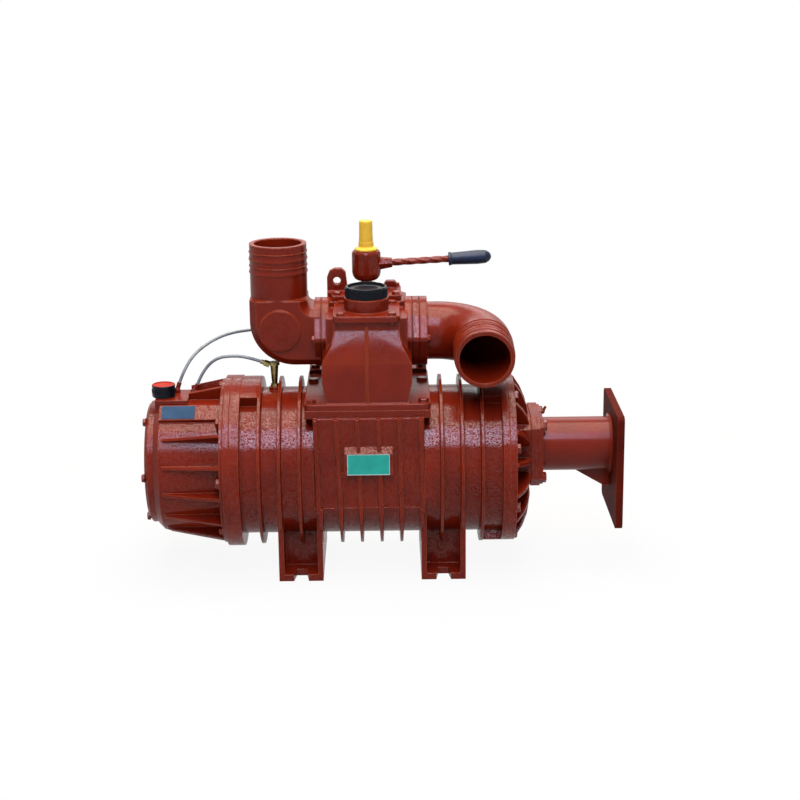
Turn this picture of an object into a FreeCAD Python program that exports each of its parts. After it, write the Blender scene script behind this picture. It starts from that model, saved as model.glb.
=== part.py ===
import FreeCAD, Part

# Rotary sliding-vane vacuum pump for tankers, with its changeover manifold,
# hose elbows, oil housing and drive adapter. Millimetres, +Z up.
# X runs along the pump, +X towards the drive end, and -Y is the front.
# The origin lies under the casing axis, midway between the feet, on their base plane.

import math
import os

import Sketcher
from FreeCAD import Placement, Rotation, Vector

doc = FreeCAD.newDocument("vacuum_pump")

# Driving dimensions: name, value and what it measures

DIMENSIONS = [
    ("axis_height", 190.0, "casing axis above the feet"),
    ("rotor_lift", 23.0, "rotor axis above the casing axis"),
    ("bore_radius", 117.0, "bore of the casing"),
    ("barrel_radius", 130.0, "outside of the casing between the fins"),
    ("casing_left", 242.0, "casing face at the oil end, from the middle"),
    ("casing_right", 239.0, "casing face at the drive end, from the middle"),
    ("left_ring_radius", 152.0, "casing flange at the oil end"),
    ("left_ring_width", 16.5, "width of that flange"),
    ("right_ring_radius", 148.0, "casing flange at the drive end"),
    ("right_ring_width", 12.0, "width of that flange"),
    ("fin_radius", 149.0, "tips of the cooling fins"),
    ("fin_pitch", 35.0, "distance from fin to fin"),
    ("fin_root", 8.0, "fin thickness at the barrel"),
    ("fin_tip", 5.0, "fin thickness at the tip"),
    ("jacket_half_width", 95.0, "port jacket, half its length along the pump"),
    ("jacket_middle", -3.0, "port jacket, its middle along the pump"),
    ("jacket_half_depth", 118.0, "port jacket, axis plane to its flat front"),
    ("jacket_drop", 53.0, "port jacket, its lower edge below the axis"),
    ("rib_half_depth", 127.0, "axis plane to the edge of the jacket ribs"),
    ("rib_thickness", 6.0, "thickness of a jacket rib"),
    ("rib_pitch", 36.2, "distance between jacket ribs at their tops"),
    ("joint_height", 121.0, "manifold joint above the casing axis"),
    ("pad_thickness", 14.0, "casing pad under the manifold"),
    ("boss_left", 45.0, "raised field of the name plate, left edge"),
    ("boss_right", 38.0, "raised field of the name plate, right edge"),
    ("boss_margin", 0.8, "raised field of the name plate, above and below it"),
    ("boss_slope", 10.3, "height of the slope over that field"),
    ("boss_proud", 128.5, "axis plane to the face of that field"),
    ("plate_width", 73.0, "name plate along the pump"),
    ("plate_height", 37.0, "name plate, its height"),
    ("plate_centre", -4.0, "name plate, its middle along the pump"),
    ("plate_lift", 28.5, "name plate, its middle above the axis"),
    ("shoulder_angle", 54.0, "angle spanned by the raised end blocks"),
    ("foot_spacing", 249.5, "distance between the middles of the feet"),
    ("foot_width", 77.5, "width of a foot along the pump"),
    ("foot_half_depth", 110.0, "axis plane to the front edge of a foot"),
    ("foot_wall", 9.5, "side wall of a foot"),
    ("foot_base", 12.0, "base plate of a foot"),
    ("foot_web", 10.0, "cross web of a foot"),
    ("foot_setback", 51.0, "front edge of a foot to its cross web"),
    ("notch_mouth", 26.0, "bolt notch at its mouth"),
    ("notch_throat", 18.0, "bolt notch at its end"),
    ("notch_depth", 28.0, "depth of the bolt notch"),
    ("manifold_offset", -4.5, "middle of the manifold along the pump"),
    ("base_width", 216.0, "manifold base along the pump"),
    ("base_front", 115.0, "axis plane to the front edge of the base"),
    ("base_rear", 120.0, "axis plane to the rear edge of the base"),
    ("base_thickness", 11.0, "thickness of the manifold base"),
    ("belly_front", 110.0, "axis plane to the front of the belly"),
    ("belly_foot_half", 70.0, "half width of the belly at the base"),
    ("belly_hip_half", 77.0, "half width of the belly at its widest"),
    ("belly_neck_half", 53.0, "half width of the belly at its top"),
    ("belly_break", 80.0, "height where the belly starts to lean back"),
    ("belly_top", 140.0, "height of the top edge of the belly"),
    ("belly_lean", 30.0, "how far the belly leans back"),
    ("trunk_half", 70.0, "half width of the manifold trunk"),
    ("trunk_top", 160.0, "top of the manifold trunk over the joint"),
    ("platform_top", 149.0, "seat of the access plate over the joint"),
    ("port_height", 105.0, "port axis over the joint"),
    ("port_back", 30.0, "port axis behind the axis plane"),
    ("port_half_span", 78.5, "manifold middle to a port face"),
    ("port_bore", 40.0, "radius of the port"),
    ("flange_radius", 61.0, "round part of the port flange"),
    ("lug_reach", 59.5, "port axis to a flange bolt"),
    ("lug_radius", 10.0, "rounding of a flange lug"),
    ("port_flange", 12.0, "thickness of the manifold port flange"),
    ("gasket_thickness", 1.5, "flat gaskets"),
    ("spacer_thickness", 11.0, "spacer at the right port"),
    ("left_flange", 11.0, "flange of the left elbow"),
    ("right_flange", 13.0, "flange of the right elbow"),
    ("hose_radius", 50.0, "outside of a hose tail"),
    ("hose_wall", 8.0, "wall of a hose tail"),
    ("left_arm", 73.5, "left elbow, flange face to tail axis"),
    ("left_rise", 160.0, "left elbow, port axis to tail end"),
    ("left_shoulder", 78.0, "left elbow, port axis to the collar"),
    ("left_sweep", 78.0, "left elbow, outer corner radius"),
    ("left_edge", 12.0, "left elbow, bevel of the flat front"),
    ("blank_radius", 36.0, "blank boss on the left elbow"),
    ("barb_height", 1.6, "height of a hose ridge"),
    ("right_arm", 28.0, "right elbow, flange face to bend"),
    ("right_bend", 80.0, "right elbow, bend radius of its middle"),
    ("right_tail", 70.0, "right elbow, straight tail"),
    ("right_droop", 6.5, "right elbow, degrees below level"),
    ("access_y", -35.0, "middle of the access plate behind the axis"),
    ("access_half_x", 57.0, "access plate, half width"),
    ("access_half_y", 57.5, "access plate, half depth"),
    ("access_plate", 10.0, "thickness of the access plate"),
    ("neck_radius", 38.5, "outside of the access neck"),
    ("neck_height", 22.5, "access neck over its plate"),
    ("spigot_radius", 31.5, "threaded spigot on the neck"),
    ("spigot_height", 12.5, "length of that spigot"),
    ("access_bore", 26.0, "bore of the access neck"),
    ("cap_radius", 37.0, "outside of the access cap"),
    ("cap_skirt", 14.0, "skirt of the access cap"),
    ("cap_roof", 4.5, "roof of the access cap"),
    ("seal_thickness", 2.0, "seal under the access cap"),
    ("valve_y", 72.0, "changeover axis behind the axis plane"),
    ("cover_half_x", 61.0, "valve cover, half width"),
    ("cover_half_y", 45.5, "valve cover, half depth"),
    ("cover_thickness", 10.0, "thickness of the valve cover"),
    ("plug_radius", 40.0, "chamber of the changeover plug"),
    ("plug_height", 121.0, "height of the changeover plug"),
    ("stem_radius", 10.0, "changeover stem"),
    ("eye_top", 40.5, "top of the lifting eye over the cover"),
    ("eye_thickness", 12.0, "thickness of the lifting eye"),
    ("eye_hole", 6.8, "hole of the lifting eye"),
    ("head_radius", 25.5, "lever head"),
    ("head_height", 54.0, "height of the lever head"),
    ("head_gap", 18.5, "valve cover to lever head"),
    ("lever_rise", 3.0, "slope of the lever in degrees"),
    ("bar_radius", 6.3, "lever bar"),
    ("bar_start", 46.0, "changeover axis to the bare bar"),
    ("bar_end", 146.0, "changeover axis to the grip"),
    ("grip_end", 222.0, "changeover axis to the end of the grip"),
    ("grip_radius", 12.0, "lever grip"),
    ("rear_plate", 12.0, "thickness of the rear bearing plate"),
    ("rear_hub_length", 36.0, "hub of the rear bearing plate"),
    ("hub_radius", 54.0, "radius of the bearing hubs"),
    ("housing_radius", 122.0, "outside of the oil housing"),
    ("housing_wall", 10.0, "wall of the oil housing"),
    ("housing_length", 122.0, "length of the oil housing"),
    ("housing_flange", 6.0, "flange of the oil housing"),
    ("housing_rim", 146.0, "radius of that flange"),
    ("housing_rib", 5.0, "thickness of a housing rib"),
    ("rib_tip_radius", 126.0, "housing rib at its thin end"),
    ("housing_mouth", 90.0, "opening closed by the end plate"),
    ("end_plate_radius", 108.0, "rear end plate"),
    ("end_plate_thickness", 16.0, "thickness of the rear end plate"),
    ("filler_pad_height", 125.0, "filler pad above the casing axis"),
    ("filler_x", -362.0, "oil filler along the pump"),
    ("filler_y", -20.0, "oil filler behind the axis plane"),
    ("filler_bore", 12.0, "bore of the oil filler"),
    ("filler_radius", 21.0, "outside of the filler cap"),
    ("drive_plate", 12.0, "flange of the drive end cover"),
    ("drive_hub", 29.5, "hub of the drive end cover"),
    ("web_thickness", 7.0, "radial web of the drive end cover"),
    ("octagon_half", 63.5, "bearing housing, half across the flats"),
    ("octagon_cut", 18.0, "bearing housing, corner cut"),
    ("octagon_thickness", 16.5, "thickness of the bearing housing"),
    ("shaft_radius", 20.0, "shaft at the bearings"),
    ("core_radius", 27.0, "shaft inside the rotor"),
    ("bearing_radius", 40.0, "outside of the bearings"),
    ("bearing_width", 18.0, "width of the bearings"),
    ("seal_radius", 28.0, "outside of the shaft seals"),
    ("seal_width", 9.6, "width of the shaft seals"),
    ("rotor_clearance", 0.3, "rotor to casing at the top and the ends"),
    ("running_clearance", 0.05, "radial clearance of a running fit"),
    ("seat_clearance", 0.2, "clearance of a piece in its seat"),
    ("slot_bottom", 32.0, "rotor axis to the bottom of a vane slot"),
    ("vane_thickness", 7.0, "thickness of a vane"),
    ("vane_height", 60.0, "radial height of a vane"),
    ("adapter_start", 58.0, "drive end face of the casing to the tube"),
    ("adapter_length", 141.0, "drive adapter, tube and plate"),
    ("tube_radius", 47.5, "outside of the adapter tube"),
    ("tube_bore", 41.3, "bore of the adapter tube and pilot"),
    ("square_half", 102.0, "half width of the square plate"),
    ("square_drop", 3.5, "middle of the square plate below the casing axis"),
    ("square_thickness", 12.5, "thickness of the square plate"),
    ("square_corner", 10.0, "corner radius of the square plate"),
    ("motor_bolt_half", 53.2, "half the spacing of the motor bolts"),
    ("motor_bolt_radius", 6.6, "radius of the motor bolt holes"),
    ("gusset_reach", 66.0, "gusset along the tube"),
    ("gusset_depth", 30.0, "gusset below the tube"),
    ("coupling_radius", 30.0, "motor coupling"),
    ("coupling_length", 62.0, "length of the motor coupling"),
    ("gear_module", 3.0, "tooth module of the oil pump gears"),
    ("gear_width", 14.0, "width of the oil pump gears"),
    ("bolt_clearance", 0.3, "bolt shank in its hole, radially"),
    ("flange_bolt", 5.0, "shank radius of the large flange bolts"),
    ("cover_bolt", 4.0, "shank radius of the small cover bolts"),
    ("oil_line_radius", 2.8, "outside of the oil lines"),
]

FIN_COUNT = 12
WEB_COUNT = 16
RIM_BOLT_COUNT = 8
END_BOLT_COUNT = 6
VANE_COUNT = 6
ROLLER_COUNT = 12
TOOTH_COUNT = 12

sheet = doc.addObject("Spreadsheet::Sheet", "Sizes")
for row, (alias, number, meaning) in enumerate(DIMENSIONS, start=1):
    sheet.set(f"A{row}", alias)
    sheet.set(f"B{row}", str(number))
    sheet.set(f"C{row}", meaning)
    sheet.setAlias(f"B{row}", alias)
doc.recompute()


class Size:
    """A length or angle: its value, and the sheet expression that drives it."""

    def __init__(self, value, text):
        self.value = float(value)
        self.text = text

    def __float__(self):
        return self.value

    def __neg__(self):
        return Size(-self.value, f"(-1 * {self.text})")

    def __add__(self, other):
        other = as_size(other)
        return Size(self.value + other.value, f"({self.text} + {other.text})")

    def __sub__(self, other):
        other = as_size(other)
        return Size(self.value - other.value, f"({self.text} - {other.text})")

    def __mul__(self, other):
        other = as_size(other)
        return Size(self.value * other.value, f"({self.text} * {other.text})")

    def __truediv__(self, other):
        other = as_size(other)
        return Size(self.value / other.value, f"({self.text} / {other.text})")

    def __radd__(self, other):
        return as_size(other) + self

    def __rsub__(self, other):
        return as_size(other) - self

    def __rmul__(self, other):
        return as_size(other) * self

    def root(self):
        return Size(math.sqrt(self.value), f"sqrt({self.text})")


def as_size(number):
    """A Size for a plain number, or the Size itself."""
    if isinstance(number, Size):
        return number
    return Size(number, f"({float(number):.6f})")


class Sheet:
    """The driving dimensions, read by name as Size values."""

    def __init__(self, rows):
        for alias, _number, _meaning in rows:
            setattr(self, alias, Size(sheet.get(alias), f"Sizes.{alias}"))


d = Sheet(DIMENSIONS)
ZERO = as_size(0.0)
NODES = []

# Places that several pieces share

rotor_height = d.axis_height + d.rotor_lift
left_face = -d.casing_left
right_face = d.casing_right
rear_plate_face = left_face - d.rear_plate
rear_hub_face = rear_plate_face - d.rear_hub_length
housing_end = rear_plate_face - d.housing_length
drive_plate_face = right_face + d.drive_plate
drive_hub_face = drive_plate_face + d.drive_hub
octagon_face = drive_hub_face + d.octagon_thickness
joint_plane = d.axis_height + d.joint_height
base_top = joint_plane + d.base_thickness
port_z = joint_plane + d.port_height
left_port_face = d.manifold_offset - d.port_half_span
right_port_face = d.manifold_offset + d.port_half_span
left_elbow_face = left_port_face - d.gasket_thickness
spacer_face = right_port_face + d.gasket_thickness
right_gasket_face = spacer_face + d.spacer_thickness
right_elbow_face = right_gasket_face + d.gasket_thickness
platform_z = joint_plane + d.platform_top
access_top = platform_z + d.access_plate
neck_top = access_top + d.neck_height
spigot_top = neck_top + d.spigot_height
trunk_z = joint_plane + d.trunk_top
cover_top = trunk_z + d.cover_thickness
head_base = cover_top + d.head_gap
head_top = head_base + d.head_height
rotor_radius = d.bore_radius - d.rotor_lift - d.rotor_clearance
first_fin = d.fin_pitch * (-0.5 * (FIN_COUNT - 1))


# Building blocks of the document

def bind(obj, prop, size):
    """Drive a property by a size."""
    obj.setExpression(prop, as_size(size).text)


def place(obj, x=ZERO, y=ZERO, z=ZERO, turn=None):
    """Put an object at a point that follows the sheet, turned about its own origin."""
    sizes = [as_size(x), as_size(y), as_size(z)]
    obj.Placement = Placement(Vector(*[s.value for s in sizes]), turn or Rotation())
    for letter, size in zip("xyz", sizes):
        obj.setExpression(f"Placement.Base.{letter}", size.text)


def keep(obj, label):
    """Name an object as a piece of the pump."""
    obj.Label = label
    NODES.append(obj)
    return obj


def new_body(label, x=ZERO, y=ZERO, z=ZERO, turn=None):
    """An empty body at its place."""
    body = doc.addObject("PartDesign::Body", label)
    place(body, x, y, z, turn)
    return keep(body, label)


def origin_part(body, role):
    """One of the body's own origin planes or axes."""
    return next(item for item in body.Origin.OriginFeatures if item.Role == role)


def new_sketch(body, name, role, lift=ZERO, turn=None, shift=None, rise=None):
    """An empty sketch on an origin plane: lifted along its normal, turned, shifted along its x and y."""
    sketch = body.newObject("Sketcher::SketchObject", name)
    sketch.AttachmentSupport = [(origin_part(body, role), "")]
    sketch.MapMode = "FlatFace"
    lift = as_size(lift)
    sketch.AttachmentOffset = Placement(Vector(0, 0, lift.value), turn or Rotation())
    sketch.setExpression("AttachmentOffset.Base.z", lift.text)
    if shift is not None:
        shift = as_size(shift)
        sketch.AttachmentOffset = Placement(Vector(shift.value, 0, lift.value), turn or Rotation())
        sketch.setExpression("AttachmentOffset.Base.x", shift.text)
    if rise is not None:
        rise = as_size(rise)
        sketch.AttachmentOffset = Placement(Vector(0, rise.value, lift.value), turn or Rotation())
        sketch.setExpression("AttachmentOffset.Base.y", rise.text)
    return sketch


def fix_point(sketch, curve, end, u, v):
    """Dimension one point of a sketch from the sketch origin."""
    for kind, axis, size in (("DistanceX", -2, u), ("DistanceY", -1, v)):
        if size is ZERO:
            sketch.addConstraint(Sketcher.Constraint("PointOnObject", curve, end, axis))
        else:
            index = sketch.addConstraint(Sketcher.Constraint(kind, -1, 1, curve, end, size.value))
            sketch.setExpression(f"Constraints[{index}]", size.text)


def outline(body, name, role, corners, lift=ZERO, turn=None, shift=None, rise=None):
    """A closed straight-sided outline with every corner dimensioned."""
    corners = [(u if u is ZERO else as_size(u), v if v is ZERO else as_size(v)) for u, v in corners]
    sketch = new_sketch(body, name, role, lift, turn, shift, rise)
    start = sketch.GeometryCount
    count = len(corners)
    for index in range(count):
        (u0, v0), (u1, v1) = corners[index], corners[(index + 1) % count]
        line = Part.LineSegment(Vector(u0.value, v0.value, 0), Vector(u1.value, v1.value, 0))
        sketch.addGeometry(line, False)
    for index in range(count):
        joined = Sketcher.Constraint("Coincident", start + index, 2, start + (index + 1) % count, 1)
        sketch.addConstraint(joined)
    for index, (u, v) in enumerate(corners):
        fix_point(sketch, start + index, 1, u, v)
    return sketch


def rectangle(u0, v0, u1, v1):
    """Corners of an upright rectangle."""
    return [(u0, v0), (u1, v0), (u1, v1), (u0, v1)]


def circles(body, name, role, rings, lift=ZERO, turn=None, shift=None, rise=None):
    """A sketch of circles, each given as centre and radius."""
    sketch = new_sketch(body, name, role, lift, turn, shift, rise)
    for u, v, radius in rings:
        u = u if u is ZERO else as_size(u)
        v = v if v is ZERO else as_size(v)
        radius = as_size(radius)
        circle = Part.Circle(Vector(u.value, v.value, 0), Vector(0, 0, 1), radius.value)
        index = sketch.addGeometry(circle, False)
        fix_point(sketch, index, 3, u, v)
        number = sketch.addConstraint(Sketcher.Constraint("Radius", index, radius.value))
        sketch.setExpression(f"Constraints[{number}]", radius.text)
    return sketch


def pad(body, name, sketch, length, both=False, back=False):
    """Material from a sketch: along its normal, against it, or half to each side."""
    feature = body.newObject("PartDesign::Pad", name)
    feature.Profile = sketch
    bind(feature, "Length", length)
    feature.SideType = "Symmetric" if both else "One side"
    feature.Reversed = back
    return feature


def pocket(body, name, sketch, length=None, both=False, back=False):
    """A cut from a sketch: against its normal, along it, or half to each side."""
    feature = body.newObject("PartDesign::Pocket", name)
    feature.Profile = sketch
    if length is None:
        feature.Type = "ThroughAll"
    else:
        bind(feature, "Length", length)
    feature.SideType = "Symmetric" if both else "One side"
    feature.Reversed = back
    return feature


def revolve(body, name, sketch, axis="H_Axis", angle=360.0, middle=False, cut=False):
    """A turned form about one of the sketch's axes."""
    kind = "PartDesign::Groove" if cut else "PartDesign::Revolution"
    feature = body.newObject(kind, name)
    feature.Profile = sketch
    feature.ReferenceAxis = (sketch, [axis])
    bind(feature, "Angle", angle)
    feature.Midplane = middle
    return feature


def row_of(body, name, feature, count, length, role="X_Axis"):
    """Equal copies of a feature along an axis."""
    pattern = body.newObject("PartDesign::LinearPattern", name)
    pattern.Originals = [feature]
    pattern.Direction = (origin_part(body, role), [""])
    bind(pattern, "Length", length)
    pattern.Occurrences = count
    body.Tip = pattern
    return pattern


def ring_of(body, name, feature, count, role="X_Axis"):
    """Equal copies of a feature round an axis."""
    pattern = body.newObject("PartDesign::PolarPattern", name)
    pattern.Originals = [feature]
    pattern.Axis = (origin_part(body, role), [""])
    pattern.Angle = 360.0
    pattern.Occurrences = count
    body.Tip = pattern
    return pattern


def round_edges(body, name, radius, chosen, kind="Fillet"):
    """Round or bevel the edges of the tip that a test picks out."""
    doc.recompute()
    base = body.Tip
    names = [f"Edge{i}" for i, edge in enumerate(base.Shape.Edges, start=1) if chosen(edge)]
    feature = body.newObject(f"PartDesign::{kind}", name)
    feature.Base = (base, names)
    bind(feature, "Radius" if kind == "Fillet" else "Size", radius)
    return feature


LEFTWARDS = Vector(-1, 0, 0)
RIGHTWARDS = Vector(1, 0, 0)
UPWARDS = Vector(0, 0, 1)
ALONG_X = Rotation(Vector(0, 1, 0), 90)
ALONG_Y = Rotation(Vector(1, 0, 0), -90)
ALONG_Z = Rotation()


def primitive(kind, name, sizes, x=ZERO, y=ZERO, z=ZERO, turn=None):
    """A primitive whose properties follow the sheet."""
    obj = doc.addObject(f"Part::{kind}", name)
    for prop, size in sizes.items():
        bind(obj, prop, size)
    place(obj, x, y, z, turn)
    return obj


def cylinder(name, radius, length, x=ZERO, y=ZERO, z=ZERO, turn=ALONG_X):
    """A cylinder from its start point along an axis."""
    return primitive("Cylinder", name, {"Radius": radius, "Height": length}, x, y, z, turn)


def block(name, x0, x1, y0, y1, z0, z1):
    """A box between two corners."""
    sizes = {"Length": x1 - x0, "Width": y1 - y0, "Height": z1 - z0}
    return primitive("Box", name, sizes, x0, y0, z0)


def cut(label, base, tool):
    """One object less another."""
    obj = doc.addObject("Part::Cut", label)
    obj.Base = base
    obj.Tool = tool
    return obj


def fuse(label, pieces):
    """Several objects as one."""
    obj = doc.addObject("Part::MultiFuse", label)
    obj.Shapes = pieces
    return obj


def ring(label, inner, outer, length, x, y=ZERO, z=ZERO, turn=ALONG_X):
    """A plain ring, such as a race, a seal or a gasket."""
    outside = cylinder(label + "_outside", outer, length, x, y, z, turn)
    inside = cylinder(label + "_inside", inner, length, x, y, z, turn)
    return keep(cut(label, outside, inside), label)


def group(label, shapes):
    """Separate solids that share one node."""
    obj = doc.addObject("Part::Feature", label)
    obj.Shape = shapes[0] if len(shapes) == 1 else Part.makeCompound(shapes)
    return keep(obj, label)


def tube(inner, outer, length, point, direction):
    """A plain ring as a shape."""
    hollow = Part.makeCylinder(inner, length, point, direction)
    return Part.makeCylinder(outer, length, point, direction).cut(hollow)


def hexagon(across, height):
    """A hexagonal prism on the XY plane."""
    radius = across / math.sqrt(3.0)
    corners = [Vector(radius * math.cos(math.radians(a)), radius * math.sin(math.radians(a)), 0)
               for a in range(0, 360, 60)]
    return Part.Face(Part.makePolygon(corners + corners[:1])).extrude(Vector(0, 0, height))


def bolt(radius, grip, point, direction):
    """A hexagon bolt with its head on a face; direction is the way its head points."""
    across = 3.3 * radius
    height = 1.3 * radius
    head = hexagon(across, height)
    dome = Part.makeSphere(across * 0.95, Vector(0, 0, height - across * 0.83))
    head = head.common(dome)
    shank = Part.makeCylinder(radius, grip, Vector(0, 0, -grip))
    shape = head.fuse(shank)
    shape.Placement = Placement(point, Rotation(Vector(0, 0, 1), direction))
    return shape


def around(count, radius, start, x, y, z):
    """Points on a circle about an axis along X; start is degrees from the top to the front."""
    points = []
    for index in range(count):
        angle = math.radians(start + 360.0 * index / count)
        points.append(Vector(x, y - radius * math.sin(angle), z + radius * math.cos(angle)))
    return points


def oval_corners():
    """Corners of the straight sides of a two-bolt flange, tangent to its round parts."""
    cosine = (d.flange_radius - d.lug_radius) / d.lug_reach
    sine = (1.0 - cosine * cosine).root()
    near_u = d.flange_radius * cosine
    near_v = d.flange_radius * sine
    far_u = d.lug_reach + d.lug_radius * cosine
    far_v = d.lug_radius * sine
    return [(near_u, near_v), (far_u, far_v), (far_u, -far_v), (near_u, -near_v),
            (-near_u, -near_v), (-far_u, -far_v), (-far_u, far_v), (-near_u, near_v)]


def oval_flange(body, name, lift, thickness, back=False, turn=None):
    """The plate of a two-bolt flange: a disc, two lugs and the tangents between them."""
    sides = outline(body, name + "_sides_sketch", "YZ_Plane", oval_corners(), lift, turn)
    pad(body, name + "_sides", sides, thickness, back=back)
    disc = circles(body, name + "_disc_sketch", "YZ_Plane", [(ZERO, ZERO, d.flange_radius)], lift, turn)
    pad(body, name + "_disc", disc, thickness, back=back)
    for tag, reach in (("front", -d.lug_reach), ("rear", d.lug_reach)):
        lug = circles(body, f"{name}_{tag}_lug_sketch", "YZ_Plane", [(reach, ZERO, d.lug_radius)], lift, turn)
        pad(body, f"{name}_{tag}_lug", lug, thickness, back=back)


def oval_holes(body, name, lift, depth, bore, turn=None, back=False):
    """The bore and the two bolt holes of a two-bolt flange."""
    hole = d.cover_bolt + d.bolt_clearance
    rings = [(-d.lug_reach, ZERO, hole), (d.lug_reach, ZERO, hole)]
    if bore is not None:
        rings.append((ZERO, ZERO, bore))
    pocket(body, name, circles(body, name + "_sketch", "YZ_Plane", rings, lift, turn), depth, back=back)


# Pump casing

def build_casing():
    """Finned barrel with its end flanges, port jacket, manifold pad and saddle feet."""
    body = new_body("pump_casing", z=d.axis_height)
    left_inner = left_face + d.left_ring_width
    right_inner = right_face - d.right_ring_width
    sink = d.barrel_radius - 1.0
    barrel = outline(body, "barrel_sketch", "XZ_Plane", [
        (left_face, d.bore_radius), (left_face, d.left_ring_radius),
        (left_inner, d.left_ring_radius), (left_inner, d.barrel_radius),
        (right_inner, d.barrel_radius), (right_inner, d.right_ring_radius),
        (right_face, d.right_ring_radius), (right_face, d.bore_radius)])
    revolve(body, "barrel", barrel)
    fin = outline(body, "fin_sketch", "XZ_Plane", [
        (first_fin - d.fin_root / 2, sink), (first_fin - d.fin_tip / 2, d.fin_radius),
        (first_fin + d.fin_tip / 2, d.fin_radius), (first_fin + d.fin_root / 2, sink)])
    first = revolve(body, "fin", fin)
    row_of(body, "fins", first, FIN_COUNT, d.fin_pitch * (FIN_COUNT - 1))
    for tag, near, far, radius in (("left", left_inner, first_fin, d.left_ring_radius - 2.0),
                                   ("right", -first_fin, right_inner, d.right_ring_radius - 1.0)):
        shoulder = outline(body, f"{tag}_shoulder_sketch", "XZ_Plane", rectangle(near, sink, far, radius))
        revolve(body, f"{tag}_shoulder", shoulder, angle=d.shoulder_angle, middle=True)
    block = outline(body, "lower_shoulder_sketch", "XZ_Plane", rectangle(
        -first_fin, -d.fin_radius + 1.0, right_inner, -sink))
    revolve(body, "lower_shoulder", block, angle=d.shoulder_angle, middle=True)

    pad_low = d.joint_height - d.pad_thickness
    jacket = outline(body, "jacket_sketch", "YZ_Plane", rectangle(
        -d.jacket_half_depth, -d.jacket_drop, d.jacket_half_depth, pad_low), lift=d.jacket_middle)
    pad(body, "jacket", jacket, d.jacket_half_width * 2, both=True)
    reach = d.fin_radius + 10.0
    for tag, side in (("front", -1.0), ("rear", 1.0)):
        for part, depth, bottom in (("fin", d.rib_half_depth, -reach), ("wall", d.jacket_half_depth, -d.jacket_drop)):
            corners = rectangle(depth * side, bottom, reach * side, pad_low + 1.0)
            trim = outline(body, f"{tag}_{part}_trim_sketch", "YZ_Plane", corners, lift=d.jacket_middle)
            pocket(body, f"{tag}_{part}_trim", trim, d.jacket_half_width * 2, both=True)
    level = outline(body, "level_sketch", "YZ_Plane", rectangle(
        -reach, pad_low, reach, reach), lift=d.manifold_offset)
    pocket(body, "level", level, d.base_width, both=True)
    top = outline(body, "pad_sketch", "YZ_Plane", rectangle(
        -d.base_front, pad_low, d.base_rear, d.joint_height), lift=d.manifold_offset)
    pad(body, "manifold_pad", top, d.base_width, both=True)
    wall_middle = d.foot_spacing / 2 - (d.foot_width - d.foot_wall) / 2
    feet = [-wall_middle, *(d.fin_pitch * place for place in (-1.5, -0.5, 0.5, 1.5)), wall_middle]
    half = d.rib_thickness / 2
    for index, foot in enumerate(feet):
        head = d.manifold_offset + d.rib_pitch * (index - 2.5)
        rib = outline(body, f"rib_{index + 1}_sketch", "XZ_Plane", [
            (foot - half, -d.jacket_drop - 7.0), (foot + half, -d.jacket_drop - 7.0),
            (head + half, pad_low + 1.0), (head - half, pad_low + 1.0)])
        pad(body, f"rib_{index + 1}", rib, d.rib_half_depth * 2, both=True)
    sunk = d.jacket_half_depth - 1.0
    field_low = d.plate_lift - d.plate_height / 2 - d.boss_margin
    field_high = d.plate_lift + d.plate_height / 2 + d.boss_margin
    field = outline(body, "plate_field_sketch", "YZ_Plane", [
        (-sunk, field_low), (-d.boss_proud, field_low), (-d.boss_proud, field_high),
        (-sunk, field_high + d.boss_slope)], lift=(d.boss_right - d.boss_left) / 2)
    pad(body, "plate_field", field, d.boss_right + d.boss_left, both=True)

    foot_low = -d.axis_height
    web_near = d.foot_half_depth - d.foot_setback
    web_far = web_near - d.foot_web
    for tag, side in (("left", -0.5), ("right", 0.5)):
        middle = d.foot_spacing * side
        for wall, offset in (("inner", -0.5), ("outer", 0.5)):
            lift = middle + (d.foot_width - d.foot_wall) * offset
            sketch = outline(body, f"{tag}_{wall}_wall_sketch", "YZ_Plane", rectangle(
                -d.foot_half_depth, foot_low, d.foot_half_depth, -d.jacket_drop - 8.0), lift=lift)
            pad(body, f"{tag}_{wall}_wall", sketch, d.foot_wall, both=True)
        for end, way in (("front", -1.0), ("rear", 1.0)):
            name = f"{tag}_{end}"
            base = outline(body, f"{name}_base_sketch", "YZ_Plane", rectangle(
                web_far * way, foot_low, d.foot_half_depth * way, foot_low + d.foot_base), lift=middle)
            pad(body, f"{name}_base", base, d.foot_width, both=True)
            web = outline(body, f"{name}_web_sketch", "YZ_Plane", rectangle(
                web_far * way, foot_low, web_near * way, foot_low * 0.53), lift=middle)
            pad(body, f"{name}_web", web, d.foot_width, both=True)
            mouth = (d.foot_half_depth + 1.0) * way
            throat = (d.foot_half_depth - d.notch_depth) * way
            notch = outline(body, f"{name}_notch_sketch", "XY_Plane", [
                (middle - d.notch_mouth / 2, mouth), (middle + d.notch_mouth / 2, mouth),
                (middle + d.notch_throat / 2, throat), (middle - d.notch_throat / 2, throat)],
                lift=foot_low)
            pocket(body, f"{name}_notch", notch, d.foot_base * 3, both=True)

    rings = [(injector_x, ZERO, injector_boss)]
    boss = circles(body, "front_injector_boss_sketch", "XY_Plane", rings, lift=injector_seat - 25.0)
    pad(body, "front_injector_boss", boss, as_size(25.0))
    passages = [(d.manifold_offset, d.access_y, d.access_bore - 4.0),
                (d.manifold_offset, d.valve_y, d.access_bore)]
    ports = circles(body, "casing_port_sketch", "XY_Plane", passages, lift=d.joint_height)
    pocket(body, "casing_ports", ports, d.joint_height * 0.5)
    bore = circles(body, "bore_sketch", "YZ_Plane", [(ZERO, ZERO, d.bore_radius)])
    pocket(body, "bore", bore, both=True)
    return body


injector_x = first_fin + d.fin_pitch * 0.69
injector_boss = as_size(10.0)
injector_seat = d.barrel_radius + 5.0
build_casing()


# Rotor, shaft and vanes

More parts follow.
